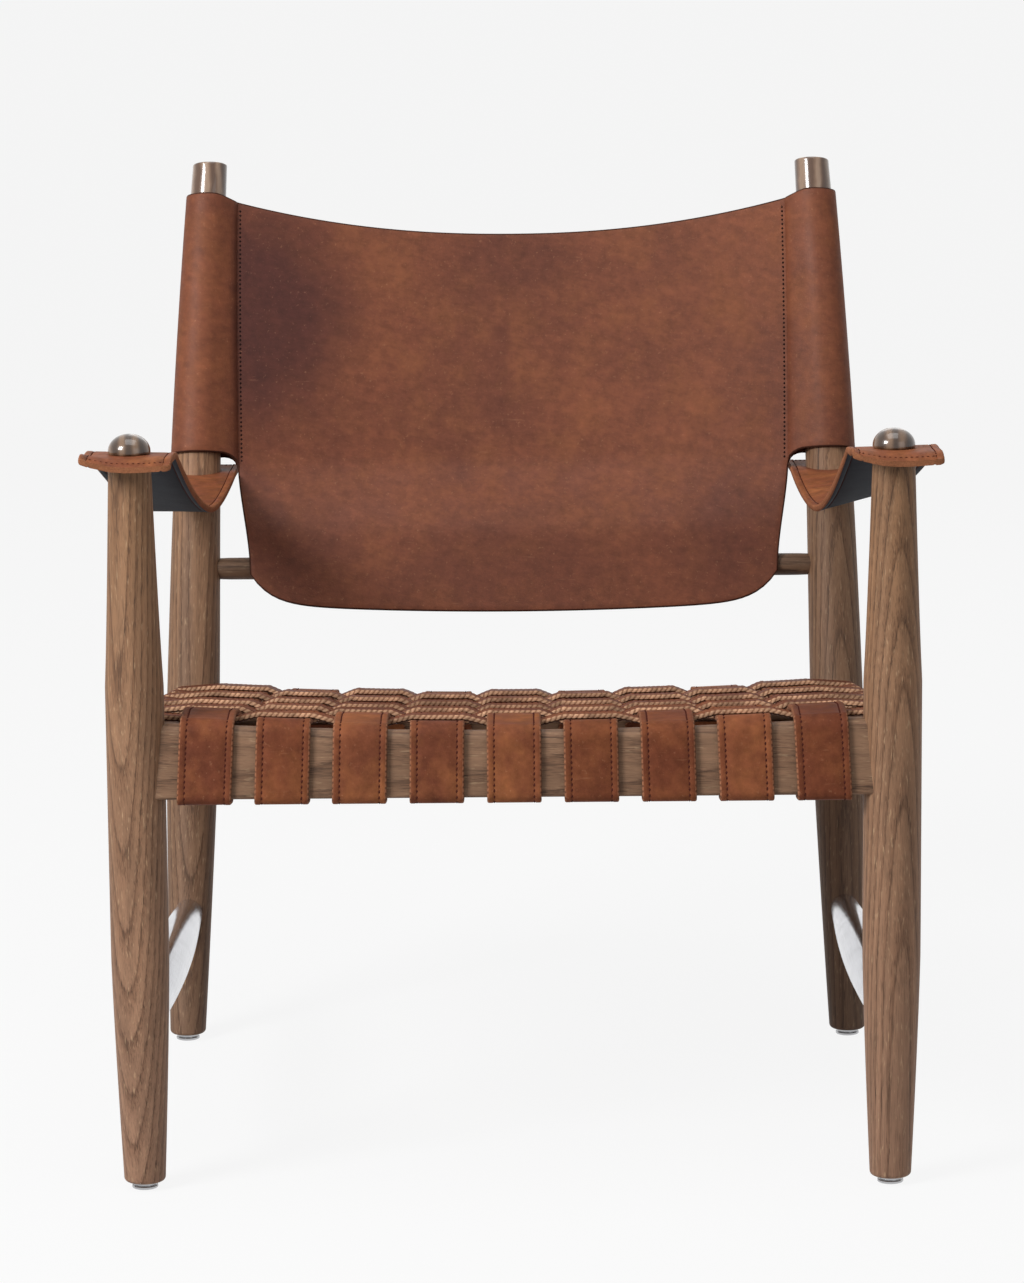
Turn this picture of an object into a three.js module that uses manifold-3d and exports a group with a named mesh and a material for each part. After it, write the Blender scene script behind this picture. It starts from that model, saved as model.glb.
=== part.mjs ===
// A lounge chair of turned wood with a leather sling back, strap arms and a woven strap seat.
// Left and right are as seen from the front, which faces -Y. The origin is on the floor.
import * as THREE from "three";
import { mergeVertices } from "three/addons/utils/BufferGeometryUtils.js";
import Module from "manifold-3d";

const wasm = await Module();
wasm.setup();

// Driving dimensions, in millimetres unless the name says degrees

// Stance of the legs and posts
const legSpan = 625.5;
const legTop = 614;
const rearReach = 505;
const footSpread = 0.5;
const postLength = 843;
const postLeanDegrees = 15;
const postSplayDegrees = 0.95;
const postFlex = 8;

// Turned wood: radius at foot, belly and top
const legFootRadius = 17;
const legBellyRadius = 24.2;
const legTopRadius = 17.4;
const legBellyFrom = 200;
const legBellyTo = 430;
const postFootRadius = 16.5;
const postBellyRadius = 25.2;
const postTipRadius = 16.5;
const postBellyFrom = 300;
const postBellyTo = 320;
const footTaper = 1.25;
const legTopTaper = 0.8;
const postTopTaper = 1.25;
const turnedEdge = 3;

// Seat frame
const seatHeight = 396;
const seatSlopeDegrees = 7.2;
const railThickness = 28;
const railHeight = 64;
const railTopRound = 9;
const railBottomRound = 3;
const seatDish = 9;
const tenonThickness = 12;
const tenonHeight = 40;
const tenonStop = 9;

// Woven seat straps
const strapWidth = 45;
const strapThickness = 4;
const strapReturn = 30;
const seatStrapCount = 9;
const seatStrapInset = 58.75;
const crossStrapCount = 8;

// Back crossbar and the side stretchers
const barRadius = 10.5;
const barAlongPost = 449;
const spigotRadius = 7;
const spigotStop = 8;
const stretcherFrontHeight = 136;
const stretcherAlongPost = 123;
const stretcherEndRadius = 12.5;
const stretcherBellyRadius = 19.5;
const stretcherBury = 12;

// Arm straps and what holds them
const armWidth = 75;
const armThickness = 5;
const armFlap = 40;
const armDroop = 6;
const armSag = 40;
const armAlongPost = 541;
const armTail = 30;
const knobRadius = 17.5;
const knobHeight = 16.5;
const knobRim = 4;
const knobUndercut = 1;
const studRadius = 4;
const studInLeg = 32;
const studInKnob = 9;

// Foot glides
const glideRadius = 11;
const glideHeight = 6;
const glideEdge = 1;
const glideStemRadius = 3;
const glideStemLength = 22;

// Back sling: distances along the post, and from the post axis to the seam
const slingThickness = 3.4;
const sleeveFrom = 559;
const sleeveTo = 812;
const sleeveEase = 0.6;
const sleeveNose = 6;
const sleeveNoseDepth = 0.2;
const seamLow = 38;
const seamHigh = 27;
const slingBulge = 22;
const slingTopDrop = 6;
const slingTopDip = 29;
const slingDipEase = 2.2;
const slingBottom = 404;
const slingBottomRise = 9;
const slingCorner = 29;
const slingCornerEase = 13;
const slingHemInset = 12.5;
const slingHold = 18;

// Clearances, and how finely round things are cut
const fit = 0.3;
const strapFit = 0.5;
const weaveGap = 0.6;
const turnedSides = 24;
const rodSides = 16;
const turnedRings = 9;
const postRings = 11;
const cornerSteps = 3;
const domeSteps = 5;
const armSteps = 14;
const sleeveSides = 20;
const sleeveRings = 4;
const slingColumns = 16;
const slingRows = 11;
const weldGap = 1e-4;

const lean = THREE.MathUtils.degToRad(postLeanDegrees);
const splay = THREE.MathUtils.degToRad(postSplayDegrees);
const slope = THREE.MathUtils.degToRad(seatSlopeDegrees);
const sides = [["left", -1], ["right", 1]];
const legX = legSpan / 2;
const footX = (legSpan + footSpread) / 2;

const wood = { color: 0x7c5942, roughness: 0.6, metalness: 0 };
const leather = { color: 0x794b3b, roughness: 0.55, metalness: 0 };
const polished = { color: 0xbfbdc6, roughness: 0.18, metalness: 1 };
const lacquered = { color: 0x82695a, roughness: 0.2, metalness: 0 };

function piece(name, geometry, finish) {
  const mesh = new THREE.Mesh(geometry, new THREE.MeshStandardMaterial(finish));
  mesh.name = name;
  return mesh;
}

// The closed solid of a mesh, in the chair's frame
function toSolid(mesh) {
  mesh.updateWorldMatrix(true, false);
  const shape = mesh.geometry.clone().applyMatrix4(mesh.matrixWorld);
  shape.deleteAttribute("normal");
  shape.deleteAttribute("uv");
  const welded = mergeVertices(shape, weldGap);
  const corners = welded.index.array;
  const triVerts = [];
  for (let i = 0; i < corners.length; i += 3) {
    const [a, b, c] = corners.slice(i, i + 3);
    if (a !== b && b !== c && c !== a) triVerts.push(a, b, c);
  }
  const skin = {
    numProp: 3,
    vertProperties: welded.attributes.position.array,
    triVerts: new Uint32Array(triVerts),
  };
  return new wasm.Manifold(new wasm.Mesh(skin));
}

// Gives a mesh the shape of a solid that stands in the chair's frame
function setShape(mesh, solid) {
  const { vertProperties, triVerts } = solid.getMesh();
  const shape = new THREE.BufferGeometry();
  shape.setAttribute("position", new THREE.BufferAttribute(vertProperties, 3));
  shape.setIndex(new THREE.BufferAttribute(triVerts, 1));
  mesh.geometry = shape.applyMatrix4(mesh.matrixWorld.clone().invert());
}

function cut(mesh, ...tools) {
  setShape(mesh, tools.reduce((solid, tool) => solid.subtract(toSolid(tool)), toSolid(mesh)));
}

function join(mesh, ...others) {
  setShape(mesh, others.reduce((solid, other) => solid.add(toSolid(other)), toSolid(mesh)));
}

// A closed skin through a row of rings, each a loop of as many points, with flat ends.
// Each end is closed by strips between the ring's first half and its second half.
function loft(rings) {
  const count = rings[0].length;
  const points = rings.flat();
  const faces = [];
  for (let k = 0; k + 1 < rings.length; k++) {
    for (let i = 0; i < count; i++) {
      const a = k * count + i;
      const b = k * count + (i + 1) % count;
      faces.push([a, b, a + count], [b, b + count, a + count]);
    }
  }
  const last = (rings.length - 1) * count;
  for (let i = 0; i + 1 < count / 2; i++) {
    const [a, b, c, d] = [i, i + 1, count - 2 - i, count - 1 - i];
    faces.push([a, c, b], [a, d, c]);
    faces.push([last + a, last + b, last + c], [last + a, last + c, last + d]);
  }
  let volume = 0;
  for (const [a, b, c] of faces) volume += points[a].dot(points[b].clone().cross(points[c]));
  const outward = volume > 0 ? faces : faces.map(([a, b, c]) => [a, c, b]);
  const shape = new THREE.BufferGeometry().setFromPoints(points);
  shape.setIndex(outward.flat());
  return shape;
}

// A turned piece along +Z: radius(height) gives its outline
function turned(radius, from, to, rings, edge, segments) {
  const outline = [new THREE.Vector2(0, from), new THREE.Vector2(radius(from) - edge, from)];
  for (let k = 0; k <= rings; k++) {
    const height = THREE.MathUtils.lerp(from + edge, to - edge, k / rings);
    outline.push(new THREE.Vector2(radius(height), height));
  }
  outline.push(new THREE.Vector2(radius(to) - edge, to), new THREE.Vector2(0, to));
  return new THREE.LatheGeometry(outline, segments).rotateX(Math.PI / 2);
}

function rod(radius, from, to, segments = rodSides) {
  return new THREE.CylinderGeometry(radius, radius, to - from, segments)
    .rotateX(Math.PI / 2).translate(0, 0, (from + to) / 2);
}

// A flat strap along a path of { at, across } stations
function strap(stations, width, thickness) {
  const rings = stations.map(({ at, across }, k) => {
    const before = stations[Math.max(k - 1, 0)].at;
    const after = stations[Math.min(k + 1, stations.length - 1)].at;
    const along = after.clone().sub(before).normalize();
    const stepIn = at.clone().sub(before);
    const bend = k > 0 && k + 1 < stations.length ? stepIn.normalize().dot(along) : 1;
    const out = across.clone().cross(along).normalize().multiplyScalar(thickness / 2 / bend);
    const half = across.clone().multiplyScalar(width / 2);
    const left = at.clone().sub(half);
    const right = at.clone().add(half);
    return [left.clone().add(out), right.clone().add(out), right.clone().sub(out), left.clone().sub(out)];
  });
  return loft(rings);
}

// The rounded outline of a rail, from its inner face down, round the outside and over its top.
// The rail's middle is at 0, its top at `top`, and `grow` offsets the outline outwards.
function railOutline(top, grow) {
  const half = railThickness / 2;
  const corners = [
    [half - railBottomRound, railBottomRound - railHeight, railBottomRound, 0],
    [railBottomRound - half, railBottomRound - railHeight, railBottomRound, -90],
    [railTopRound - half, top - railTopRound, railTopRound, 180],
    [half - railTopRound, top - railTopRound, railTopRound, 90],
  ];
  return corners.map(([across, height, round, start]) => {
    const arc = [];
    for (let k = 0; k <= cornerSteps; k++) {
      const turn = THREE.MathUtils.degToRad(start - 90 * k / cornerSteps);
      arc.push([across + (round + grow) * Math.cos(turn), height + (round + grow) * Math.sin(turn)]);
    }
    return arc;
  });
}

// Legs and posts

function taper(belly, end, share, ease) {
  return belly - (belly - end) * Math.max(share, 0) ** ease;
}

function legRadius(height) {
  const down = 1 - height / legBellyFrom;
  if (down > 0) return taper(legBellyRadius, legFootRadius, down, footTaper);
  const up = (height - legBellyTo) / (legTop - legBellyTo);
  return taper(legBellyRadius, legTopRadius, up, legTopTaper);
}

function postRadius(height) {
  const down = 1 - height / postBellyFrom;
  if (down > 0) return taper(postBellyRadius, postFootRadius, down, footTaper);
  const up = (height - postBellyTo) / (postLength - postBellyTo);
  return taper(postBellyRadius, postTipRadius, up, postTopTaper);
}

// Distance of a post's axis from the middle; above the crossbar the sling draws the post in
function postX(height) {
  const above = Math.max(height - barAlongPost, 0) / (postLength - barAlongPost);
  return footX - height * Math.tan(splay) - postFlex * above ** 2;
}

function frontLeg(side, word, grow = 0) {
  const radius = (height) => legRadius(height) + grow;
  const shape = turned(radius, glideHeight, legTop, turnedRings, turnedEdge, turnedSides);
  const mesh = piece(`front_leg_${word}`, shape, wood);
  mesh.position.set(side * legX, 0, 0);
  return mesh;
}

// A post along its leaning frame's +Z, starting below the floor
function postShape(side, grow) {
  const radius = (height) => postRadius(Math.max(height, 0)) + grow;
  const shape = turned(radius, -postFootRadius, postLength, postRings, turnedEdge, turnedSides);
  const place = shape.attributes.position;
  for (let i = 0; i < place.count; i++) {
    place.setX(i, place.getX(i) + side * postX(Math.max(place.getZ(i), 0)));
  }
  return shape;
}

// A point on a post's axis, in the chair's frame
function onPost(side, height) {
  return new THREE.Vector3(
    side * postX(height), rearReach + height * Math.sin(lean), height * Math.cos(lean));
}

const chair = new THREE.Group();
const back = new THREE.Group();
back.position.y = rearReach;
back.rotation.x = -lean;
const seat = new THREE.Group();
const halfRail = railHeight / 2;
seat.position.set(0, halfRail * Math.sin(slope), seatHeight);
seat.rotation.x = -slope;
chair.add(back, seat);
chair.updateMatrixWorld(true);

// A piece placed in a group's frame, turned into the chair's frame
function inFrame(group, mesh) {
  mesh.applyMatrix4(group.matrixWorld);
  return mesh;
}

function box(x, y, z) {
  return piece("block", new THREE.BoxGeometry(x, y, z), wood);
}

// The floor that the feet of the posts are cut level with, up to the tops of the glides
const groundDepth = 4 * postFootRadius;
const ground = box(4 * footX, 2 * rearReach, groundDepth);
ground.position.set(0, rearReach, glideHeight - groundDepth / 2);

const legs = {};
const posts = {};
const legSockets = {};
const postSockets = {};
for (const [word, side] of sides) {
  legs[word] = frontLeg(side, word);
  legSockets[word] = frontLeg(side, word, fit);
  chair.add(legs[word]);
  posts[word] = piece(`rear_post_${word}`, postShape(side, 0), wood);
  postSockets[word] = inFrame(back, piece("socket", postShape(side, fit), wood));
  back.add(posts[word]);
  cut(posts[word], ground);
}

// Seat frame: in its own frame +Y runs back and down, and the front rail's top is at 0.
// The rails' middles lie on the axes of the legs and posts.

const railMiddle = seatHeight - halfRail * Math.cos(slope);
const seatDepth = (rearReach * Math.cos(lean) + railMiddle * Math.sin(lean)) / Math.cos(lean - slope);
const rearRailX = postX((railMiddle - seatDepth * Math.sin(slope)) / Math.cos(lean));
const railX = (y) => THREE.MathUtils.lerp(legX, rearRailX, y / seatDepth);
const dishHalf = legX - railThickness / 2;
const dish = (x) => -seatDish * Math.max(1 - (x / dishHalf) ** 2, 0);
const dishSlope = (x) => (Math.abs(x) < dishHalf ? 2 * seatDish * x / dishHalf ** 2 : 0);

const tenonLength = legBellyRadius + railThickness - tenonStop;

// A tenon block along X or Y, with its tip short of the leg's axis, and the mortise that takes it
function tenon(alongX, middle, grow) {
  const [x, y] = alongX ? [tenonLength, tenonThickness] : [tenonThickness, tenonLength];
  const block = box(x + 2 * grow, y + 2 * grow, tenonHeight + 2 * grow);
  block.position.copy(middle);
  return inFrame(seat, block);
}

function endRail(name, y, halfSpan, sockets, holders) {
  const stations = [-halfSpan];
  const steps = seatStrapCount + 1;
  for (let k = 0; k <= steps; k++) stations.push(THREE.MathUtils.lerp(-dishHalf, dishHalf, k / steps));
  stations.push(halfSpan);
  const rings = stations.map((x) => railOutline(dish(x), 0).flat()
    .map(([across, height]) => new THREE.Vector3(x, y + across, height)));
  const rail = piece(name, loft(rings), wood);
  seat.add(rail);
  cut(rail, sockets.left, sockets.right);
  for (const [word, side] of sides) {
    const middle = new THREE.Vector3(side * (halfSpan - tenonStop - tenonLength / 2), y, -halfRail);
    join(rail, tenon(true, middle, 0));
    cut(holders[word], tenon(true, middle, fit));
  }
}

endRail("front_rail", 0, legX, legSockets, legs);
endRail("rear_rail", seatDepth, rearRailX, postSockets, posts);

for (const [word, side] of sides) {
  const rings = [0, seatDepth].map((y) => railOutline(0, 0).flat()
    .map(([across, height]) => new THREE.Vector3(side * (railX(y) - across), y, height)));
  const rail = piece(`side_rail_${word}`, loft(rings), wood);
  seat.add(rail);
  cut(rail, legSockets[word], postSockets[word]);
  for (const [y, inward, holder] of [[0, 1, legs[word]], [seatDepth, -1, posts[word]]]) {
    const middleY = y + inward * (tenonStop + tenonLength / 2);
    const middle = new THREE.Vector3(side * railX(middleY), middleY, -halfRail);
    join(rail, tenon(false, middle, 0));
    cut(holder, tenon(false, middle, fit));
  }
}

// Woven seat: straps lie half a strap above the rails, and pass over and under one another

const lift = strapFit + strapThickness / 2;
const weave = (strapThickness + weaveGap) / 2;
const crossGap = (seatDepth - railThickness - crossStrapCount * strapWidth) / (crossStrapCount + 1);
const crossY = (j) => railThickness / 2 + crossGap + strapWidth / 2 + j * (crossGap + strapWidth);
const seatStrapReach = legX - seatStrapInset;
const strapX = (i) => THREE.MathUtils.lerp(-seatStrapReach, seatStrapReach, i / (seatStrapCount - 1));
const flatHalf = strapWidth / 2 + weave;

// The part of a strap that wraps a rail, from its tacked end on the inner face to the rail's top
function wrapPath(top) {
  const outline = railOutline(top, lift);
  const inner = [outline[0][0][0], strapReturn - railHeight];
  return [inner, ...outline[0], ...outline[1], ...outline[2], outline[3][0]];
}

for (let i = 0; i < seatStrapCount; i++) {
  const x = strapX(i);
  const level = new THREE.Vector3(1, 0, 0);
  const tilted = new THREE.Vector3(1, 0, dishSlope(x)).normalize();
  const around = (y, away) => wrapPath(dish(x)).map(([across, height]) => ({
    at: new THREE.Vector3(x, y + away * across, height),
    across: height > dish(x) - railTopRound ? tilted : level,
  }));
  const stations = around(0, 1);
  for (let j = 0; j < crossStrapCount; j++) {
    const height = dish(x) + lift + ((i + j) % 2 ? -weave : weave);
    for (const end of [-flatHalf, flatHalf]) {
      stations.push({ at: new THREE.Vector3(x, crossY(j) + end, height), across: tilted });
    }
  }
  stations.push(...around(seatDepth, -1).reverse());
  seat.add(piece(`seat_strap_${i + 1}`, strap(stations, strapWidth, strapThickness), leather));
}

for (let j = 0; j < crossStrapCount; j++) {
  const y = crossY(j);
  const across = new THREE.Vector3(0, -1, 0);
  const around = (side) => wrapPath(0).map(([inward, height]) => ({
    at: new THREE.Vector3(side * (railX(y) - inward), y, height), across,
  }));
  const stations = around(-1);
  for (let i = 0; i < seatStrapCount; i++) {
    const height = lift + ((i + j) % 2 ? weave : -weave);
    for (const end of [-flatHalf, flatHalf]) {
      const x = strapX(i) + end;
      stations.push({ at: new THREE.Vector3(x, y, height + dish(x)), across });
    }
  }
  stations.push(...around(1).reverse());
  seat.add(piece(`cross_strap_${j + 1}`, strap(stations, strapWidth, strapThickness), leather));
}

// Crossbar between the posts, with a spigot in each

const barEnd = postX(barAlongPost);
const bar = piece("back_crossbar", rod(barRadius, -barEnd, barEnd).rotateY(Math.PI / 2), wood);
bar.position.z = barAlongPost;
back.add(bar);
cut(bar, postSockets.left, postSockets.right);
const spigotEnd = barEnd - spigotStop;
function spigot(grow) {
  const shape = rod(spigotRadius + grow, -spigotEnd - grow, spigotEnd + grow).rotateY(Math.PI / 2);
  const core = piece("spigot", shape, wood);
  core.position.z = barAlongPost;
  return inFrame(back, core);
}
join(bar, spigot(0));
for (const [word] of sides) cut(posts[word], spigot(fit));

// Side stretchers: swelled spindles let into the legs

for (const [word, side] of sides) {
  const start = new THREE.Vector3(side * legX, 0, stretcherFrontHeight);
  const end = onPost(side, stretcherAlongPost);
  const length = start.distanceTo(end);
  const from = legRadius(stretcherFrontHeight) - stretcherBury;
  const to = length - postRadius(stretcherAlongPost) + stretcherBury;
  const aim = new THREE.Quaternion().setFromUnitVectors(
    new THREE.Vector3(0, 0, 1), end.clone().sub(start).normalize());
  const spindle = (grow) => {
    const swell = (at) => stretcherEndRadius + grow
      + (stretcherBellyRadius - stretcherEndRadius) * Math.sin(Math.PI * (at - from) / (to - from));
    const round = turnedEdge - grow;
    const shape = turned(swell, from - grow, to + grow, turnedRings, round, rodSides);
    const mesh = piece(`stretcher_${word}`, shape, polished);
    mesh.position.copy(start);
    mesh.quaternion.copy(aim);
    return mesh;
  };
  const socket = spindle(fit);
  cut(legs[word], socket);
  cut(posts[word], socket);
  chair.add(spindle(0));
}

// Foot glides: a bright pad on a stem that screws into the leg

const glideTop = glideHeight - fit;
const glideStemTop = glideHeight + glideStemLength;

function glide(name, x, y) {
  const outline = [
    [0, 0], [glideRadius - glideEdge, 0], [glideRadius, glideEdge], [glideRadius, glideTop],
    [glideStemRadius, glideTop], [glideStemRadius, glideStemTop], [0, glideStemTop],
  ].map(([radius, height]) => new THREE.Vector2(radius, height));
  const mesh = piece(name, new THREE.LatheGeometry(outline, rodSides).rotateX(Math.PI / 2), polished);
  mesh.position.set(x, y, 0);
  const hole = piece("hole", rod(glideStemRadius + fit, 0, glideStemTop + fit), wood);
  hole.position.copy(mesh.position);
  return [mesh, hole];
}

for (const [word, side] of sides) {
  const [front, frontHole] = glide(`glide_front_${word}`, side * legX, 0);
  const foot = onPost(side, 0);
  const [rear, rearHole] = glide(`glide_rear_${word}`, foot.x, foot.y + glideHeight * Math.tan(lean));
  cut(legs[word], frontHole);
  cut(posts[word], rearHole);
  chair.add(front, rear);
}

// Arm straps: laid over the front leg, sagging back to the post that passes through them

const armFloor = legTop + fit;
const armY = (side) => onPost(side, armAlongPost).y;
const armFrontHeight = armFloor + armThickness / 2;
const knobBase = armFloor + armThickness + fit;
const armRearHeight = armAlongPost * Math.cos(lean);

function armHeight(y, far) {
  const overhang = Math.max(-legTopRadius - y, 0) / (armFlap - legTopRadius);
  const share = Math.max(y - legTopRadius, 0) / (far - legTopRadius);
  const chord = THREE.MathUtils.lerp(armFrontHeight, armRearHeight, share);
  return chord - armDroop * overhang ** 2 - 4 * armSag * share * (1 - share);
}

// A domed button with a short rim
function knobShape() {
  const outline = [[0, 0], [knobRadius - knobUndercut, 0], [knobRadius, knobRim]];
  for (let k = 1; k < domeSteps; k++) {
    const turn = Math.PI / 2 * k / domeSteps;
    outline.push([knobRadius * Math.cos(turn), knobRim + (knobHeight - knobRim) * Math.sin(turn)]);
  }
  outline.push([0, knobHeight]);
  const points = outline.map(([radius, height]) => new THREE.Vector2(radius, height));
  return new THREE.LatheGeometry(points, turnedSides).rotateX(Math.PI / 2);
}

for (const [word, side] of sides) {
  const far = armY(side);
  const middle = (y) => side * THREE.MathUtils.lerp(legX, postX(armAlongPost), y / far);
  const ends = [-armFlap, -(armFlap + legTopRadius) / 2, -legTopRadius, legTopRadius];
  const rearEnd = far + postRadius(armAlongPost) + armTail;
  for (let k = 1; k <= armSteps; k++) ends.push(THREE.MathUtils.lerp(legTopRadius, rearEnd, k / armSteps));
  const stations = ends.map((y) => ({
    at: new THREE.Vector3(middle(y), y, armHeight(y, far)), across: new THREE.Vector3(1, 0, 0),
  }));
  const arm = piece(`arm_strap_${word}`, strap(stations, armWidth, armThickness), leather);
  const shank = (name, grow) => {
    const shape = rod(studRadius + grow, legTop - studInLeg - grow, knobBase + studInKnob + grow);
    const core = piece(name, shape, polished);
    core.position.x = side * legX;
    return core;
  };
  const stud = shank(`knob_stud_${word}`, 0);
  const hole = shank("hole", fit);
  cut(arm, postSockets[word], hole);
  cut(legs[word], hole);
  const knob = piece(`arm_knob_${word}`, knobShape(), lacquered);
  knob.position.set(side * legX, 0, knobBase);
  cut(knob, hole);
  chair.add(arm, stud, knob);
}

// Back sling: one sheet with a sleeve round each post, resting on the front of the crossbar

const seamX = (height) => {
  const share = (height - sleeveFrom) / (sleeveTo - sleeveFrom);
  return postX(height) - THREE.MathUtils.lerp(seamLow, seamHigh, share);
};

// A sleeve's section: round the post on the outside and drawn in to the seam
function sleeve(side, grow, from, to) {
  const rings = [];
  for (let k = 0; k <= sleeveRings; k++) {
    const height = THREE.MathUtils.lerp(from, to, k / sleeveRings);
    const radius = postRadius(height) + sleeveEase + grow;
    const reach = postX(height) - seamX(height) + grow;
    const ring = [];
    for (let i = 0; i < sleeveSides; i++) {
      const turn = 2 * Math.PI * (i + 0.5) / sleeveSides;
      const inward = Math.cos(turn);
      const nose = inward > 0 ? (reach - radius) * inward ** sleeveNose : 0;
      const depth = (radius + nose * sleeveNoseDepth) * Math.sin(turn);
      ring.push(new THREE.Vector3(side * (postX(height) - inward * (radius + nose)), depth, height));
    }
    rings.push(ring);
  }
  return inFrame(back, piece("sleeve", loft(rings), leather));
}

function smooth(share) {
  return THREE.MathUtils.smoothstep(share, 0, 1);
}

const restOnBar = barRadius + fit + slingThickness / 2;
const topEdge = (u) => sleeveTo - slingTopDrop - slingTopDip * (1 - Math.abs(u) ** slingDipEase);
const bottomEdge = (u) => slingBottom + slingBottomRise * u ** 2
  + slingCorner * Math.abs(u) ** slingCornerEase;

function panelPoint(u, v, offset) {
  const height = THREE.MathUtils.lerp(bottomEdge(u), topEdge(u), v);
  const sideHeight = THREE.MathUtils.lerp(bottomEdge(1), topEdge(1), v);
  const below = smooth((sleeveFrom - sideHeight) / (sleeveFrom - bottomEdge(1)));
  const halfWidth = seamX(Math.max(sideHeight, sleeveFrom)) - slingHemInset * below;
  const held = smooth((sleeveFrom - height) / (sleeveFrom - barAlongPost - barRadius - slingHold));
  const bow = slingBulge * (1 - u * u) * (1 - held) - restOnBar * held;
  return new THREE.Vector3(u * halfWidth, bow + offset, height);
}

const panelRings = [];
for (let k = 0; k <= slingRows; k++) {
  const face = [];
  const rear = [];
  for (let i = 0; i <= slingColumns; i++) {
    const u = 2 * i / slingColumns - 1;
    face.push(panelPoint(u, k / slingRows, -slingThickness / 2));
    rear.unshift(panelPoint(u, k / slingRows, slingThickness / 2));
  }
  panelRings.push([...face, ...rear]);
}
const sling = piece("back_sling", loft(panelRings), leather);
back.add(sling);
for (const [, side] of sides) {
  join(sling, sleeve(side, slingThickness, sleeveFrom, sleeveTo));
}
for (const [, side] of sides) {
  cut(sling, sleeve(side, 0, sleeveFrom - slingThickness, sleeveTo + slingThickness));
}

// The origin is on the floor under the middle of the chair's depth
const extent = new THREE.Box3().setFromObject(chair, true);
chair.position.y = -(extent.min.y + extent.max.y) / 2;
const lounge = new THREE.Group();
lounge.add(chair);

export default lounge;
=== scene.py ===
import math
import random
import bpy
from mathutils import Matrix, Vector


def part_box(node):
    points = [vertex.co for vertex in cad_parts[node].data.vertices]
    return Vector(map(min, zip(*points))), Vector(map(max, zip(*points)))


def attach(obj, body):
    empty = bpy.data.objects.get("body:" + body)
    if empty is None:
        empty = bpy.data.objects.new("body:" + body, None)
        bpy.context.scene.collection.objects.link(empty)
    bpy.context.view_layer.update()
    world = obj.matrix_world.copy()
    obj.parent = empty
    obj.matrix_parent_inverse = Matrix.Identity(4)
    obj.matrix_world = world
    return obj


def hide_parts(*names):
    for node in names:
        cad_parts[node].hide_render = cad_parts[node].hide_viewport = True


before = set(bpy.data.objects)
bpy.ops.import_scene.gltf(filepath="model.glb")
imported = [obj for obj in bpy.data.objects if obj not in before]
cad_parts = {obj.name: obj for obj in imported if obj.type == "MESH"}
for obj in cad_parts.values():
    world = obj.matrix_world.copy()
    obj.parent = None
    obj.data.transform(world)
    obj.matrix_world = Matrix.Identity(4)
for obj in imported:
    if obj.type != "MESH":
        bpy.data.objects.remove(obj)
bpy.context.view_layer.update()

bpy.ops.object.select_all(action="DESELECT")
scene = bpy.context.scene
scene.view_settings.view_transform = "Standard"
dice = random.Random(7)
mm = 0.001
sides = (("left", -1), ("right", 1))

# pieces are in millimetres, in the chair's own frame: y 0 on the front legs, z 0 on the floor
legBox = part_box("front_leg_left")
chairY = (legBox[0].y + legBox[1].y) / 2 / mm  # where the front legs stand in the row frame

stance = {
    "legX": 312.75, "footX": 313.0, "rearReach": 505, "lean": math.radians(15),
    "splay": math.radians(0.95), "flex": 8, "postLength": 843, "barAlong": 449,
    "seatHeight": 396, "slope": math.radians(7.2), "railHeight": 64, "railThick": 28,
}
legX, lean, slope = stance["legX"], stance["lean"], stance["slope"]
halfRail, halfThick = stance["railHeight"] / 2, stance["railThick"] / 2


def lerp(a, b, share):
    return a + (b - a) * share


def clamp(share):
    return min(max(share, 0), 1)


def smooth(share):
    share = clamp(share)
    return share * share * (3 - 2 * share)


def rowPoint(x, y, z):
    return Vector((x, y + chairY, z)) * mm


seatStart = rowPoint(0, halfRail * math.sin(slope), stance["seatHeight"])
seatFrame = Matrix.Translation(seatStart) @ Matrix.Rotation(-slope, 4, "X")
backFrame = Matrix.Translation(rowPoint(0, stance["rearReach"], 0)) @ Matrix.Rotation(-lean, 4, "X")


def seatPoint(x, y, z):
    return seatFrame @ (Vector((x, y, z)) * mm)


def seatWay(x, y, z):
    return seatFrame.to_3x3() @ Vector((x, y, z))


def backPoint(x, y, z):
    return backFrame @ (Vector((x, y, z)) * mm)


def aimAt(way):
    return Vector((0, 0, 1)).rotation_difference(way).to_matrix().to_4x4()


def postX(height):
    above = max(height - stance["barAlong"], 0) / (stance["postLength"] - stance["barAlong"])
    return stance["footX"] - height * math.tan(stance["splay"]) - stance["flex"] * above ** 2


def onPost(side, height):
    back = stance["rearReach"] + height * math.sin(lean)
    return Vector((side * postX(height), back, height * math.cos(lean)))


railMiddle = stance["seatHeight"] - halfRail * math.cos(slope)
fromFoot = stance["rearReach"] * math.cos(lean) + railMiddle * math.sin(lean)
seatDepth = fromFoot / math.cos(lean - slope)
rearRailX = postX((railMiddle - seatDepth * math.sin(slope)) / math.cos(lean))


# camera at the photograph's place

view = {"place": (8.08, -4037.8, 1060.3), "pitch": 9.22, "roll": 0.49, "yaw": 0.14,
        "lens": 127.36, "sensor": 36, "clip": 300}


def turned(degrees, axis):
    return Matrix.Rotation(math.radians(degrees), 3, axis)


bpy.ops.object.camera_add(location=[c * mm for c in view["place"]])
camera = bpy.context.object
camera.name = "photoCamera"
aimed = turned(view["yaw"], "Z") @ turned(90 - view["pitch"], "X") @ turned(-view["roll"], "Z")
camera.rotation_euler = aimed.to_euler()
camera.data.lens = view["lens"]
camera.data.sensor_width = view["sensor"]
camera.data.clip_end = view["clip"]
scene.camera = camera
print("camera placed")


# node helpers: each finds its tree from a socket; finishes read object coordinates, in metres

def isSocket(value):
    return isinstance(value, bpy.types.NodeSocket)


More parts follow.
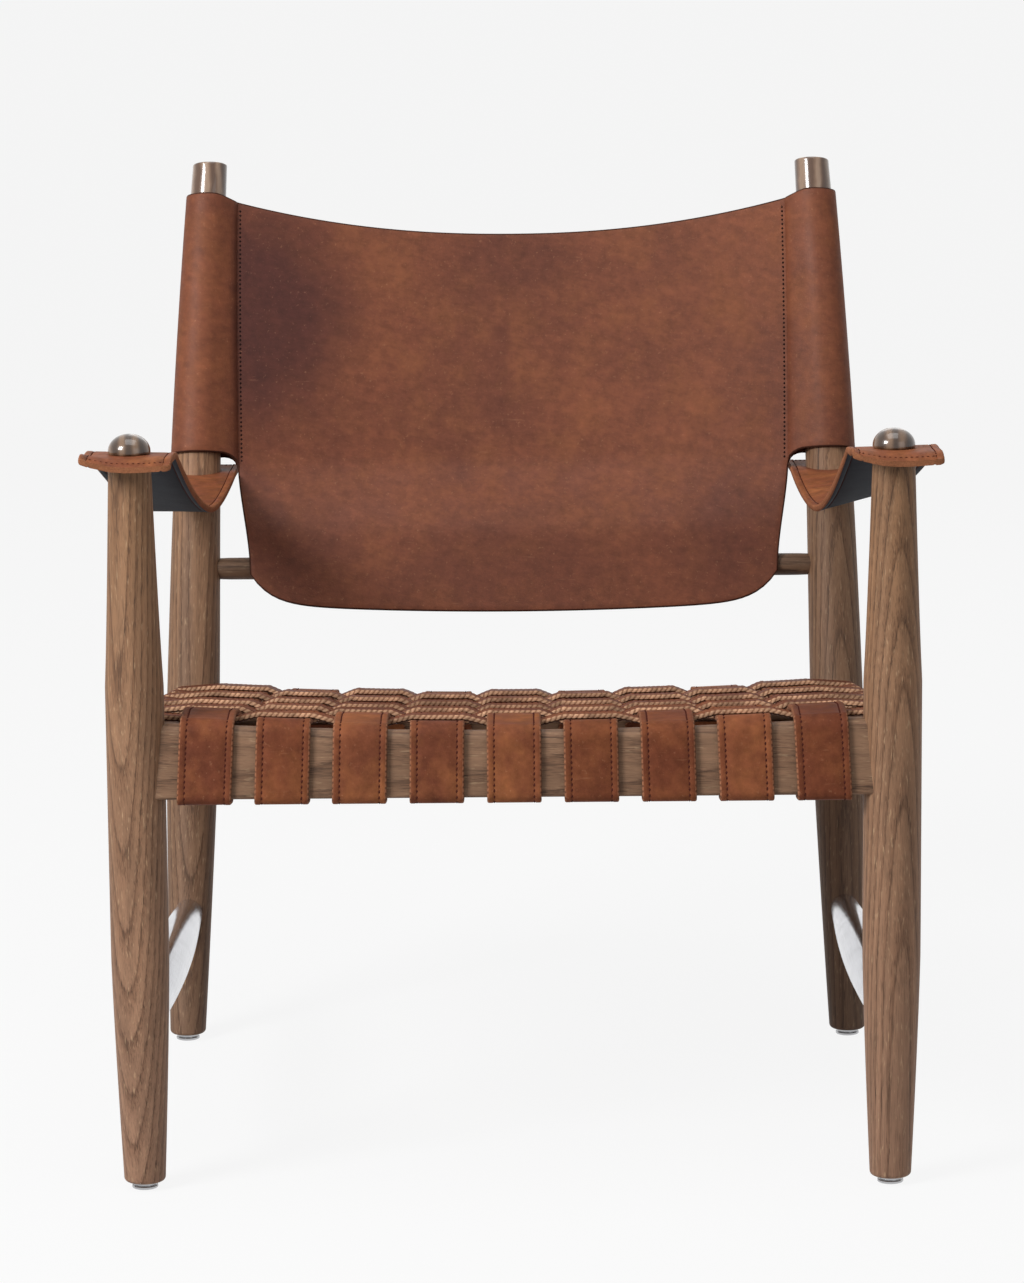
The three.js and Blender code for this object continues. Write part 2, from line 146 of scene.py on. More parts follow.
def treeOf(*values):
    return next(value.id_data for value in values if isSocket(value))


def plug(value, socket):
    if isSocket(value):
        socket.id_data.links.new(value, socket)
    else:
        socket.default_value = value


def feed(node, settings):
    for key, value in settings.items():
        if key in node.inputs:
            plug(value, node.inputs[key])
        else:
            setattr(node, key, value)
    return node


def addNode(tree, kind, **settings):
    return feed(tree.nodes.new("ShaderNode" + kind), settings)


def nodeOn(source, kind, **settings):
    return addNode(source.id_data, kind, Vector=source, **settings)


def newFinish(name):
    finish = bpy.data.materials.new(name)
    finish.use_nodes = True
    tree = finish.node_tree
    return finish, tree.nodes["Principled BSDF"], addNode(tree, "TexCoord").outputs["Object"]


def attributeOn(shader, name):
    return addNode(shader.id_data, "Attribute", attribute_name=name).outputs["Fac"]


def mapOn(source, **settings):
    return nodeOn(source, "Mapping", **settings).outputs["Vector"]


def noiseOn(source, scale, detail=2.0, rough=0.5, warp=0.0):
    settings = {"Scale": scale, "Detail": detail, "Roughness": rough, "Distortion": warp}
    return nodeOn(source, "TexNoise", **settings).outputs["Fac"]


def rampOn(source, stops, shape="LINEAR"):
    ramp = addNode(source.id_data, "ValToRGB", Fac=source)
    band, stops = ramp.color_ramp, tuple(stops)
    band.interpolation = shape
    while len(band.elements) < len(stops):
        band.elements.new(0.5)
    for element, (place, colour) in zip(band.elements, stops):
        element.position = place
        element.color = (*colour, 1) if hasattr(colour, "__len__") else (colour, colour, colour, 1)
    return ramp.outputs["Color"]


def swing(low, high):
    return (0.3, low), (0.7, high)  # nearly all of a noise lies between 0.3 and 0.7


def speckle(source, noise, stops):
    return rampOn(noiseOn(source, *noise), stops)


def mixOn(factor, first, second, blend="MIX"):
    mix = addNode(treeOf(factor, first, second), "Mix", data_type="RGBA", blend_type=blend)
    plug(factor, mix.inputs[0])
    for colour, socket in ((first, mix.inputs[6]), (second, mix.inputs[7])):  # the colours among its sockets
        plug(colour if isSocket(colour) else (*colour, 1), socket)
    return mix.outputs[2]


def shadeOn(tone, shade):
    return mixOn(1.0, tone, shade, "MULTIPLY")


def mathOn(kind, *values):
    node = addNode(treeOf(*values), "Math", operation=kind)
    for value, socket in zip(values, node.inputs):
        plug(value, socket)
    return node.outputs[0]


def bumpOn(height, strength, distance):
    bump = addNode(height.id_data, "Bump", Height=height, Strength=strength, Distance=distance)
    return bump.outputs["Normal"]


# stained ash: growth rings round a far pith, dark open pores, and pale flecks along the grain that are
# painted glints of light caught in the pores

ash = {
    "light": (0.325, 0.185, 0.108), "mid": (0.236, 0.125, 0.070), "dark": (0.095, 0.046, 0.024),
    "pore": (0.045, 0.021, 0.011), "glint": (0.50, 0.34, 0.20),
    "rings": {"wave_type": "RINGS", "rings_direction": "Z", "wave_profile": "SAW", "Scale": 58,
              "Distortion": 3.2, "Detail": 2.5, "Detail Scale": 0.6},
    "ringStops": (0, 0.14, 0.55, 0.93, 1), "calm": 0.42,
    "ringDraw": 0.12, "poreDraw": 0.035, "glintDraw": 0.14,  # each pattern is drawn out along the grain
    "finePores": (1500, 2.0, 0.6), "fineStops": ((0.51, 0), (0.64, 0.85)),
    "coarsePores": (520, 2.0, 0.6), "coarseStops": ((0.58, 0), (0.68, 0.75)),
    "poreByRing": ((0, 0.95), (0.35, 0.6), (0.7, 0.25), (1, 0.9)),
    "scuffsAndGlints": (620, 2.0, 0.6), "scuffAndGlintStops": ((0.60, 0), (0.74, 0.5)),
    "cast": (110, 4.0), "castStops": ((0.28, 0.62), (0.72, 1.22)),
    "stainAndShadeHeights": (0.05, 0.55), "rough": 0.58, "gloss": 0.28, "bump": (0.4, 0.0004),
}
stainsAndShade = {  # at the foot, and higher up; the rear posts' row is painted shade, darkening their feet under the seat
    "even": ((1, 1, 1), (1, 1, 1)),
    "leg": ((1.0, 1.0, 1.08), (0.91, 0.865, 0.76)),
    "post": ((0.68, 0.69, 0.71), (1, 0.98, 0.93)),
}
grains = {"upright": (0, 0, 0), "leaning": (lean, 0, 0), "across": (0, math.radians(-90), 0),
          "shaded": (math.radians(90) + slope, 0, 0)}
tilts = {"rising": (-0.055, 0, 0), "slight": (-0.035, -0.02, 0), "other": (0.04, -0.03, 0),
         "falling": (0.09, 0, 0)}


def stainedAsh(name, grain, pith, tilt, shade=1.0, stainAndShade="even"):
    # shade darkens the whole piece's colour: on the right post it is painted shade, for the side away from
    # the key light; on the rails and crossbar it makes them darker overall
    finish, shader, coords = newFinish(name)
    tones = {key: [c * shade for c in ash[key]] for key in ("light", "mid", "dark", "pore", "glint")}
    along = mapOn(coords, Rotation=grains[grain], Location=pith)
    tilted = mapOn(along, Rotation=tilts[tilt])
    drawn = mapOn(tilted, Scale=(1, 1, ash["ringDraw"]))
    porous = mapOn(tilted, Scale=(1, 1, ash["poreDraw"]))
    glintDrawn = mapOn(tilted, Scale=(1, 1, ash["glintDraw"]))
    rings = nodeOn(drawn, "TexWave", **ash["rings"]).outputs["Fac"]
    ringTones = [tones[key] for key in ("dark", "mid", "light", "light", "dark")]
    tone = rampOn(rings, zip(ash["ringStops"], ringTones))
    tone = shadeOn(tone, speckle(porous, ash["cast"], ash["castStops"]))
    tone = mixOn(ash["calm"], tone, tones["mid"])
    height = nodeOn(coords, "SeparateXYZ").outputs["Z"]
    # darker or lighter with height: a stain on the front legs, painted shade at the feet of the rear posts
    tone = shadeOn(tone, rampOn(height, zip(ash["stainAndShadeHeights"], stainsAndShade[stainAndShade])))
    # painted glints: pale flecks along the grain that stand for light caught in the pores
    tone = mixOn(speckle(glintDrawn, ash["scuffsAndGlints"], ash["scuffAndGlintStops"]), tone, tones["glint"])
    fine = speckle(porous, ash["finePores"], ash["fineStops"])
    coarse = speckle(porous, ash["coarsePores"], ash["coarseStops"])
    early = rampOn(rings, ash["poreByRing"])
    pores = mathOn("MULTIPLY", mathOn("MAXIMUM", fine, coarse), early)
    sunk = mathOn("MULTIPLY", pores, -1.0)
    feed(shader, {
        "Base Color": mixOn(pores, tone, tones["pore"]), "Roughness": ash["rough"],
        "Specular IOR Level": ash["gloss"], "Normal": bumpOn(sunk, *ash["bump"]),
    })
    return finish


# waxed leather: patches of tone, fine pores, pale scuffs

hide = {
    "base": (0.176, 0.055, 0.026), "dark": (0.062, 0.018, 0.013), "warm": (0.262, 0.096, 0.036),
    "scuff": (0.36, 0.17, 0.09), "patch": (6.5, 5.0, 0.6, 0.4), "cloud": (26, 5.0, 0.62),
    "darkStops": (0.30, 0.64), "warmStops": (0.44, 0.72), "gloss": (0.50, 0.65),
    "tints": ((0, (0.77, 0.71, 0.70)), (0.5, (1.05, 1.04, 1.02)), (1, (1.29, 1.33, 1.2))),
    "scuffsAndGlints": (330, 3.0, 0.7), "scuffAndGlintStops": ((0.62, 0.0), (0.78, 0.45)), "worn": (95, 4.0, 0.65),
    "scratchTurn": (0.3, 0.9, 0.4), "scratchScale": (26, 210, 230), "scratches": (1.0, 3.0, 0.7),
    "scratchStops": ((0.68, 0.0), (0.80, 0.26)),
    "pebble": 620, "pebbleShare": 0.55, "crease": (190, 4.0, 0.6), "bump": (0.25, 0.0006),
}
panelToneAndShade = {  # of the sling: painted shade in regions that end at its seams, where the bowed panel turns away from the key light, bends round the crossbar and dips into its seams, with a milder darker patch at the top centre; fibres drawn slantwise across it
    "seam": ((0.262, 1), (0.275, 0)), "ragged": 0.6, "fade": 0.75, "cooled": -0.9, "depth": 0.3,
    "shadeRegions": (  # x, z, half width, half height, share
        (-0.245, 0.665, 0.15, 0.21, 1.0), (-0.21, 0.46, 0.12, 0.12, 0.55), (0.22, 0.46, 0.12, 0.12, 0.65),
        (0.0, 0.725, 0.13, 0.08, 0.6), (0.0, 0.41, 0.24, 0.16, 0.5), (0.262, 0.60, 0.06, 0.13, 0.45),
    ),
    "fibreTurn": (0, 0.22, 0), "fibreSize": (0.015, 0.03, 0.0055), "fibres": (1.0, 6.0, 0.72, 0.5),
    "fibreShades": (0.85, 1.13),
}


# painted shade on the sling panel: each region darkens and cools the leather up to the seams
def paintedShadeRegions(coords, patch, darkMask, warmMask):
    acrossBack = nodeOn(coords, "SeparateXYZ").outputs["X"]
    onPanel = rampOn(mathOn("ABSOLUTE", acrossBack), panelToneAndShade["seam"])
    edge = mathOn("MULTIPLY_ADD", patch, panelToneAndShade["ragged"], -panelToneAndShade["ragged"] / 2)
    for x, z, wide, tall, share in panelToneAndShade["shadeRegions"]:
        place = (x, panelToneAndShade["depth"], z)
        around = mapOn(coords, vector_type="TEXTURE", Location=place, Scale=(wide, 1, tall))
        ball = nodeOn(around, "TexGradient", gradient_type="SPHERICAL").outputs["Fac"]
        stops = ((0.0, 0.0), (panelToneAndShade["fade"], share))
        soft = rampOn(mathOn("ADD", ball, edge), stops, "EASE")
        shadeRegion = mathOn("MULTIPLY", soft, onPanel)
        darkMask = mathOn("MAXIMUM", darkMask, shadeRegion)
        kept = mathOn("MULTIPLY_ADD", shadeRegion, panelToneAndShade["cooled"], 1.0)
        warmMask = mathOn("MULTIPLY", warmMask, kept)
    return darkMask, warmMask


def waxedHide(name, darkShare, warmShare, sheen, wear, panel=False):
    finish, shader, coords = newFinish(name)
    patch = noiseOn(coords, *hide["patch"])
    cloud = noiseOn(coords, *hide["cloud"])
    darkMask = rampOn(patch, zip(hide["darkStops"], (darkShare, 0.0)))
    warmMask = rampOn(cloud, zip(hide["warmStops"], (0.0, warmShare)))
    # the sling panel gets its painted shade regions
    if panel:
        darkMask, warmMask = paintedShadeRegions(coords, patch, darkMask, warmMask)
    tone = mixOn(darkMask, hide["base"], hide["dark"])
    tone = mixOn(warmMask, tone, hide["warm"])
    if not panel:  # each strap is cut from another part of the hide
        tone = shadeOn(tone, rampOn(attributeOn(shader, "tint"), hide["tints"]))
    tone = mixOn(speckle(coords, hide["scuffsAndGlints"], hide["scuffAndGlintStops"]), tone, hide["scuff"])
    tone = shadeOn(tone, speckle(coords, hide["worn"], swing(*wear)))
    if panel:
        fibre = mapOn(coords, vector_type="TEXTURE", Rotation=panelToneAndShade["fibreTurn"],
                      Scale=panelToneAndShade["fibreSize"])
        shades = swing(*panelToneAndShade["fibreShades"])
        tone = shadeOn(tone, speckle(fibre, panelToneAndShade["fibres"], shades))
    scratched = mapOn(coords, Rotation=hide["scratchTurn"], Scale=hide["scratchScale"])
    tone = mixOn(speckle(scratched, hide["scratches"], hide["scratchStops"]), tone, hide["scuff"])
    pebble = nodeOn(coords, "TexVoronoi", Scale=hide["pebble"]).outputs["Distance"]
    crease = noiseOn(coords, *hide["crease"])
    height = mathOn("MULTIPLY_ADD", pebble, hide["pebbleShare"], crease)
    feed(shader, {
        "Base Color": tone, "Roughness": rampOn(cloud, swing(*hide["gloss"])),
        "Specular IOR Level": sheen, "Normal": bumpOn(height, *hide["bump"]),
    })
    return finish


# cut and sewn leather edges: tan fibre, with painted shade in the notches where the thread pulls in

edgeFibre = {"fibre": (800, 3.0, 0.7), "shades": (0.62, 1.15), "handled": (42, 4.0, 0.6),
             "handledStops": (0.36, 0.64), "rough": 0.8, "gloss": 0.1, "bump": (0.4, 0.0005)}


def sewnEdge(name, pale, shaded, uneven=0.15):
    finish, shader, coords = newFinish(name)
    # painted shade: each notch where a stitch pinches the edge takes the darker colour
    tone = mixOn(attributeOn(shader, "pinch"), pale, shaded)
    stops = zip(edgeFibre["handledStops"], (1 - uneven, 1 + uneven / 3))
    tone = shadeOn(tone, speckle(coords, edgeFibre["handled"], stops))
    fibre = noiseOn(coords, *edgeFibre["fibre"])
    feed(shader, {
        "Base Color": shadeOn(tone, rampOn(fibre, swing(*edgeFibre["shades"]))),
        "Roughness": edgeFibre["rough"], "Specular IOR Level": edgeFibre["gloss"],
        "Normal": bumpOn(fibre, *edgeFibre["bump"]),
    })
    return finish


lining = {"dark": (0.010, 0.013, 0.019), "pale": (0.028, 0.033, 0.042), "cloud": (60, 4.0),
          "nap": (1300, 2.0), "rough": 0.75, "gloss": 0.1, "bump": (0.3, 0.0004)}


def clothLining(name):
    finish, shader, coords = newFinish(name)
    nap = noiseOn(coords, *lining["nap"])
    feed(shader, {
        "Base Color": mixOn(noiseOn(coords, *lining["cloud"]), lining["dark"], lining["pale"]),
        "Roughness": lining["rough"], "Specular IOR Level": lining["gloss"],
        "Normal": bumpOn(nap, *lining["bump"]),
    })
    return finish


linen = {"twist": (1500, 2.0), "shades": (0.6, 1.3), "rough": 0.7, "gloss": 0.1}


def waxedThread(name, colour):
    finish, shader, coords = newFinish(name)
    shade = speckle(coords, linen["twist"], swing(*linen["shades"]))
    feed(shader, {"Base Color": shadeOn(colour, shade), "Roughness": linen["rough"],
                        "Specular IOR Level": linen["gloss"]})
    return finish


metal = {"lines": (1.0, 3.0, 0.6), "smear": (40, 3.0), "dull": 0.86, "roughSwing": (0.7, 1.5),
         "bump": (0.05, 0.0003)}


def brightMetal(name, colour, rough, drawn):
    finish, shader, coords = newFinish(name)
    lines = noiseOn(mapOn(coords, Scale=drawn), *metal["lines"])
    dulled = [c * metal["dull"] for c in colour]
    feed(shader, {
        "Base Color": speckle(coords, metal["smear"], swing(dulled, colour)), "Metallic": 1.0,
        "Roughness": rampOn(lines, swing(*(rough * share for share in metal["roughSwing"]))),
        "Normal": bumpOn(lines, *metal["bump"]),
    })
    return finish


lacquer = {
    "figure": (1, 0.35, 0.6), "stops": (0.1, 0.5, 0.9), "gloss": 0.3, "coatRough": 0.05,
    "bands": {"wave_type": "BANDS", "bands_direction": "X", "Scale": 26, "Distortion": 6.0, "Detail": 3.0},
}


def lacqueredWood(name, tones, rough, coat):
    finish, shader, coords = newFinish(name)
    figure = mapOn(coords, Scale=lacquer["figure"])
    bands = nodeOn(figure, "TexWave", **lacquer["bands"]).outputs["Fac"]
    feed(shader, {
        "Base Color": rampOn(bands, zip(lacquer["stops"], tones)),
        "Roughness": rough, "Specular IOR Level": lacquer["gloss"],
        "Coat Weight": coat, "Coat Roughness": lacquer["coatRough"],
    })
    return finish


slingHide = waxedHide("slingHide", darkShare=0.55, warmShare=0.32, sheen=0.2, wear=(0.80, 1.16), panel=True)
strapHide = waxedHide("strapHide", darkShare=0.6, warmShare=0.56, sheen=0.06, wear=(0.75, 1.20))
armHide = waxedHide("armHide", darkShare=0.25, warmShare=0.75, sheen=0.08, wear=(0.66, 1.32))
crossEdge = sewnEdge("crossEdge", (0.60, 0.35, 0.215), (0.22, 0.096, 0.050), uneven=0.5)
# painted shade: the dark colour for the lower half of the cross straps' edges, standing for the shadow under
# each strap
shadedLowerEdge = sewnEdge("shadedLowerEdge", (0.075, 0.028, 0.016), (0.03, 0.012, 0.008))
strapEdge = sewnEdge("strapEdge", (0.30, 0.125, 0.065), (0.11, 0.042, 0.024))
armEdge = sewnEdge("armEdge", (0.33, 0.130, 0.062), (0.20, 0.072, 0.036))
# slingEdge: a dark cut edge; along the sleeves' lower rims the dark also stands for the shadow under the
# sleeves
slingEdge = sewnEdge("slingEdge", (0.060, 0.022, 0.013), (0.04, 0.015, 0.009))
charcoalLining = clothLining("charcoalLining")
redThread = waxedThread("redThread", (0.060, 0.013, 0.008))
darkThread = waxedThread("darkThread", (0.013, 0.005, 0.004))
drawnAluminium = brightMetal("drawnAluminium", (0.66, 0.665, 0.70), rough=0.16, drawn=(900, 12, 900))
brightSteel = brightMetal("brightSteel", (0.50, 0.50, 0.51), rough=0.14, drawn=(500, 500, 500))
knobTones = ((0.045, 0.024, 0.013), (0.090, 0.050, 0.028), (0.170, 0.102, 0.060))
knobLacquer = lacqueredWood("knobLacquer", knobTones, rough=0.26, coat=0.8)
tipTones = ((0.090, 0.046, 0.026), (0.170, 0.100, 0.062), (0.270, 0.178, 0.120))
tipLacquer = lacqueredWood("tipLacquer", tipTones, rough=0.24, coat=0.7)
print("finishes mixed")


# modelling helpers

lathe = {"sides": 64, "smooth": 38, "endSteps": 5}


def deselect():
    if bpy.context.mode != "OBJECT":
        bpy.ops.object.mode_set(mode="OBJECT")
    bpy.ops.object.select_all(action="DESELECT")


def pickOnly(piece):
    deselect()
    piece.select_set(True)
    bpy.context.view_layer.objects.active = piece


def editAll(piece):
    pickOnly(piece)
    bpy.ops.object.mode_set(mode="EDIT")
    bpy.ops.mesh.select_all(action="SELECT")


def modify(piece, kind, **settings):
    modifier = piece.modifiers.new(kind.title(), kind)
    for key, value in settings.items():
        setattr(modifier, key, value)
    pickOnly(piece)
    bpy.ops.object.modifier_apply(modifier=modifier.name)


def smoothBy(piece, degrees):
    pickOnly(piece)
    bpy.ops.object.shade_smooth_by_angle(angle=math.radians(degrees))


def faceOutwards(piece, degrees):
    editAll(piece)
    bpy.ops.mesh.normals_make_consistent(inside=False)
    smoothBy(piece, degrees)


def nameActive(name):
    piece = bpy.context.object
    piece.name = name
    piece.data.name = name
    return piece


def roundEnd(height, radius, edge, upward):
    rings = []
    for k in range(lathe["endSteps"] + 1):
        turnBy = math.pi / 2 * k / lathe["endSteps"]
        away = edge * (1 - math.sin(turnBy))
        rings.append((height + upward * away, radius - edge * (1 - math.cos(turnBy))))
    return rings[::-1] if upward > 0 else rings


def turnOnLathe(name, rings, count=lathe["sides"]):
    deselect()
    bottom, radius = rings[0]
    bpy.ops.mesh.primitive_circle_add(vertices=count, radius=radius * mm, fill_type="NGON")
    piece = nameActive(name)
    editAll(piece)
    bpy.ops.transform.translate(value=(0, 0, bottom * mm))
    for (low, first), (high, second) in zip(rings, rings[1:]):
        bpy.ops.mesh.extrude_region_move(TRANSFORM_OT_translate={"value": (0, 0, (high - low) * mm)})
        grow = second / first
        bpy.ops.transform.resize(value=(grow, grow, 1), center_override=(0, 0, high * mm))
    faceOutwards(piece, lathe["smooth"])
    return piece


def copiesOf(blank, names):
    twins = []
    for name in names:
        pickOnly(blank)
        bpy.ops.object.duplicate()
        twins.append(nameActive(name))
    bpy.data.objects.remove(blank)
    return twins


def twinOf(first, name, bareMesh):  # of a dressed piece: the copy keeps its parent and gets a bare copy of the mesh
    pickOnly(first)
    bpy.ops.object.duplicate()
    bpy.context.object.data = bareMesh.copy()
    return nameActive(name)


def pairNames(stem):
    return [stem + word.title() for word, _ in sides]


def dress(piece, body, slot, finishes, *nodes):
    for finish in finishes:
        piece.data.materials.append(finish)
    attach(piece, body)
    if nodes:
        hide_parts(*nodes)


def dressWood(piece, node, finish, *tips):
    dress(piece, "frame", "stained_wood", [finish, *tips], node)


def meshPiece(name, points, faces):
    data = bpy.data.meshes.new(name)
    data.from_pydata(points, [], faces)
    data.update()
    piece = bpy.data.objects.new(name, data)
    scene.collection.objects.link(piece)
    return piece


# turned front legs

leg = {
    "foot": 6, "top": 614, "footRadius": 17, "belly": 24.2, "topRadius": 17.4, "bellyFrom": 200,
    "bellyTo": 430, "footTaper": 1.25, "topTaper": 0.8, "edge": 3.6, "topEdge": 2, "rings": 26,
    "left": ((0.358, 0.459, 0), "falling"), "right": ((-0.342, 0.410, 0.1), "rising"),  # pith and tilt
}


def woodRadius(wood, height):
    down = clamp(1 - height / wood["bellyFrom"])
    up = max((height - wood["bellyTo"]) / (wood["top"] - wood["bellyTo"]), 0)
    thinned = (wood["belly"] - wood["footRadius"]) * down ** wood["footTaper"]
    thinned += (wood["belly"] - wood["topRadius"]) * up ** wood["topTaper"]
    return wood["belly"] - thinned


legRings = roundEnd(leg["foot"], woodRadius(leg, leg["foot"] + leg["edge"]), leg["edge"], 1)
for k in range(1, leg["rings"]):
    height = lerp(leg["foot"] + leg["edge"], leg["top"] - leg["topEdge"], k / leg["rings"])
    legRings.append((height, woodRadius(leg, height)))
legRings += roundEnd(leg["top"], leg["topRadius"], leg["topEdge"], -1)
frontLegs = copiesOf(turnOnLathe("legBlank", legRings), pairNames("frontLeg"))
for piece, (word, side) in zip(frontLegs, sides):
    piece.data.transform(Matrix.Translation(rowPoint(side * legX, 0, 0)))
    finish = stainedAsh("ashLeg" + word.title(), "upright", *leg[word], stainAndShade="leg")
    dressWood(piece, "front_leg_" + word, finish)


# leaning rear posts, drawn in a little above the crossbar by the sling

post = {
    "top": stance["postLength"], "footRadius": 16.5, "belly": 25.2, "topRadius": 16.5, "bellyFrom": 300,
    "bellyTo": 320, "footTaper": 1.25, "topTaper": 1.25, "edge": 3.2, "edgeSteps": 4, "topEdge": 2,
    "rings": 34, "polished": 795, "spare": 20,
    # pith, tilt and shade; the right post's lower shade is painted shade, as it stands on the side away from
    # the key light
    "left": ((0.31, -0.08, 0), "other", 0.98), "right": ((-0.31, -0.09, 0.2), "slight", 0.76),
}
postRings = [(-post["spare"], post["footRadius"])]  # the foot is cut level afterwards
for k in range(post["rings"]):
    height = lerp(0, post["top"] - post["topEdge"], k / post["rings"])
    postRings.append((height, woodRadius(post, height)))
postRings += roundEnd(post["top"], post["topRadius"], post["topEdge"], -1)
leftPost = turnOnLathe("rearPostLeft", postRings)
postMesh = leftPost.data.copy()
upward = backFrame.to_3x3() @ Vector((0, 0, 1))
for word, side in sides:
    piece = leftPost if side < 0 else twinOf(leftPost, "rearPostRight", postMesh)
    for vertex in piece.data.vertices:
        vertex.co.x += side * postX(max(vertex.co.z / mm, 0)) * mm
    piece.data.transform(backFrame)
    editAll(piece)
    bpy.ops.mesh.bisect(plane_co=(0, 0, leg["foot"] * mm), plane_no=(0, 0, -1), use_fill=True,
                        clear_outer=True)
    # the cut's edge is still picked
    bpy.ops.mesh.bevel(offset=post["edge"] * mm, segments=post["edgeSteps"], affect="EDGES")
    smoothBy(piece, lathe["smooth"])
    for face in piece.data.polygons:
        face.material_index = int((face.center - backFrame.translation).dot(upward) > post["polished"] * mm)
    # the "post" row paints shade on the lower part of each post, under the seat
    finish = stainedAsh("ashPost" + word.title(), "leaning", *post[word], "post")
    dressWood(piece, "rear_post_" + word, finish, tipLacquer)
print("legs and posts turned")


# seat rails: sawn, rounded over on top and dished where the straps cross

rail = {
    "topRound": 9, "lowRound": 3, "roundSteps": 6, "dish": 9, "cuts": 24, "short": 6, "smooth": 40,
    "near": 0.01, "front": (0.39, 0.47, 0.1), "rear": (0.33, -0.12, 0.3), "shade": 0.72,
    "sidePith": (0.36, 0.34, 0.1),
}
dishHalf = legX - halfThick


def dish(x):
    return -rail["dish"] * max(1 - (x / dishHalf) ** 2, 0)


def sawnRail(name, length, dished):
    deselect()
    bpy.ops.mesh.primitive_cube_add(size=1, location=(0, 0, 0))
    piece = nameActive(name)
    editAll(piece)
    bpy.ops.transform.resize(value=(length * mm, stance["railThick"] * mm, stance["railHeight"] * mm))
    bpy.ops.transform.translate(value=(0, 0, -halfRail * mm))
    bpy.ops.object.mode_set(mode="OBJECT")
    for level, offset in ((0, rail["topRound"]), (-stance["railHeight"], rail["lowRound"])):
        for part in (*piece.data.vertices, *piece.data.polygons):
            part.select = False
        for edge in piece.data.edges:
            a, b = (piece.data.vertices[i].co for i in edge.vertices)
            longWay = abs(a.x - b.x) > length * mm / 2
            edge.select = longWay and abs(a.z / mm - level) < rail["near"]
        bpy.ops.object.mode_set(mode="EDIT")
        bpy.context.tool_settings.mesh_select_mode = (False, True, False)
        bpy.ops.mesh.bevel(offset=offset * mm, segments=rail["roundSteps"], affect="EDGES")
        bpy.ops.object.mode_set(mode="OBJECT")
    bpy.ops.object.mode_set(mode="EDIT")
    for k in range(1, rail["cuts"]):
        bpy.ops.mesh.select_all(action="SELECT")
        bpy.ops.mesh.bisect(plane_co=(length * (k / rail["cuts"] - 0.5) * mm, 0, 0), plane_no=(1, 0, 0))
    bpy.ops.object.mode_set(mode="OBJECT")
    if dished:
        for vertex in piece.data.vertices:
            if vertex.co.z > -halfRail * mm:
                vertex.co.z += dish(vertex.co.x / mm) * mm
    smoothBy(piece, rail["smooth"])
    return piece


for word, along, halfSpan in (("front", 0, legX), ("rear", seatDepth, rearRailX)):
    piece = sawnRail(word + "Rail", 2 * halfSpan - rail["short"], True)
    piece.data.transform(seatFrame @ Matrix.Translation((0, along * mm, 0)))
    finish = stainedAsh("ashRail" + word.title(), "across", rail[word], "slight", rail["shade"])
    dressWood(piece, word + "_rail", finish)
swingIn = math.atan2(legX - rearRailX, seatDepth)
for word, side in sides:
    piece = sawnRail("sideRail" + word.title(), seatDepth - rail["short"], False)
    middle = Vector((side * (legX + rearRailX) / 2, seatDepth / 2, 0)) * mm
    turn = Matrix.Rotation(math.pi / 2 + side * swingIn, 4, "Z")
    piece.data.transform(seatFrame @ Matrix.Translation(middle) @ turn)
    pithX, pithY, pithZ = rail["sidePith"]
    finish = stainedAsh("ashSide" + word.title(), "shaded", (side * pithX, pithY, pithZ), "other")
    dressWood(piece, "side_rail_" + word, finish)


# crossbar behind the sling, with a slight waist at each post

bar = {"radius": 10.5, "waist": 9.6, "swell": 10.9, "waistFrom": 0.9, "bury": 8, "rings": 24, "sides": 40,
       "pith": (0.5, -0.35, 0.1), "shade": 0.47}
barEnd = postX(stance["barAlong"]) - bar["bury"]
barRings = []
for k in range(bar["rings"] + 1):
    share = 2 * k / bar["rings"] - 1
    near = smooth((abs(share) - bar["waistFrom"]) / (1 - bar["waistFrom"]))
    barRings.append((share * barEnd, lerp(lerp(bar["swell"], bar["radius"], abs(share)), bar["waist"], near)))
crossbar = turnOnLathe("backCrossbar", barRings, bar["sides"])
barPlace = Matrix.Translation((0, 0, stance["barAlong"] * mm)) @ Matrix.Rotation(math.pi / 2, 4, "Y")
crossbar.data.transform(backFrame @ barPlace)
dressWood(crossbar, "back_crossbar", stainedAsh("ashBar", "across", bar["pith"], "slight", bar["shade"]))


# bright spindle stretchers

spindle = {"frontHeight": 136, "alongPost": 123, "endRadius": 12.5, "belly": 19.5, "bury": 12,
           "rings": 40, "sides": 48}
for word, side in sides:
    start = Vector((side * legX, 0, spindle["frontHeight"]))
    end = onPost(side, spindle["alongPost"])
    low = woodRadius(leg, spindle["frontHeight"]) - spindle["bury"]
    high = (end - start).length - woodRadius(post, spindle["alongPost"]) + spindle["bury"]
    rings = []
    for k in range(spindle["rings"] + 1):
        share = k / spindle["rings"]
        swell = math.sin(math.pi * share)
        rings.append((lerp(low, high, share), lerp(spindle["endRadius"], spindle["belly"], swell)))
    piece = turnOnLathe("stretcher" + word.title(), rings, spindle["sides"])
    piece.data.transform(Matrix.Translation(rowPoint(*start)) @ aimAt((end - start).normalized()))
    dress(piece, "frame", "polished_aluminium", [drawnAluminium], "stretcher_" + word)


# foot glides: a bright domed pad, a waist and a stem

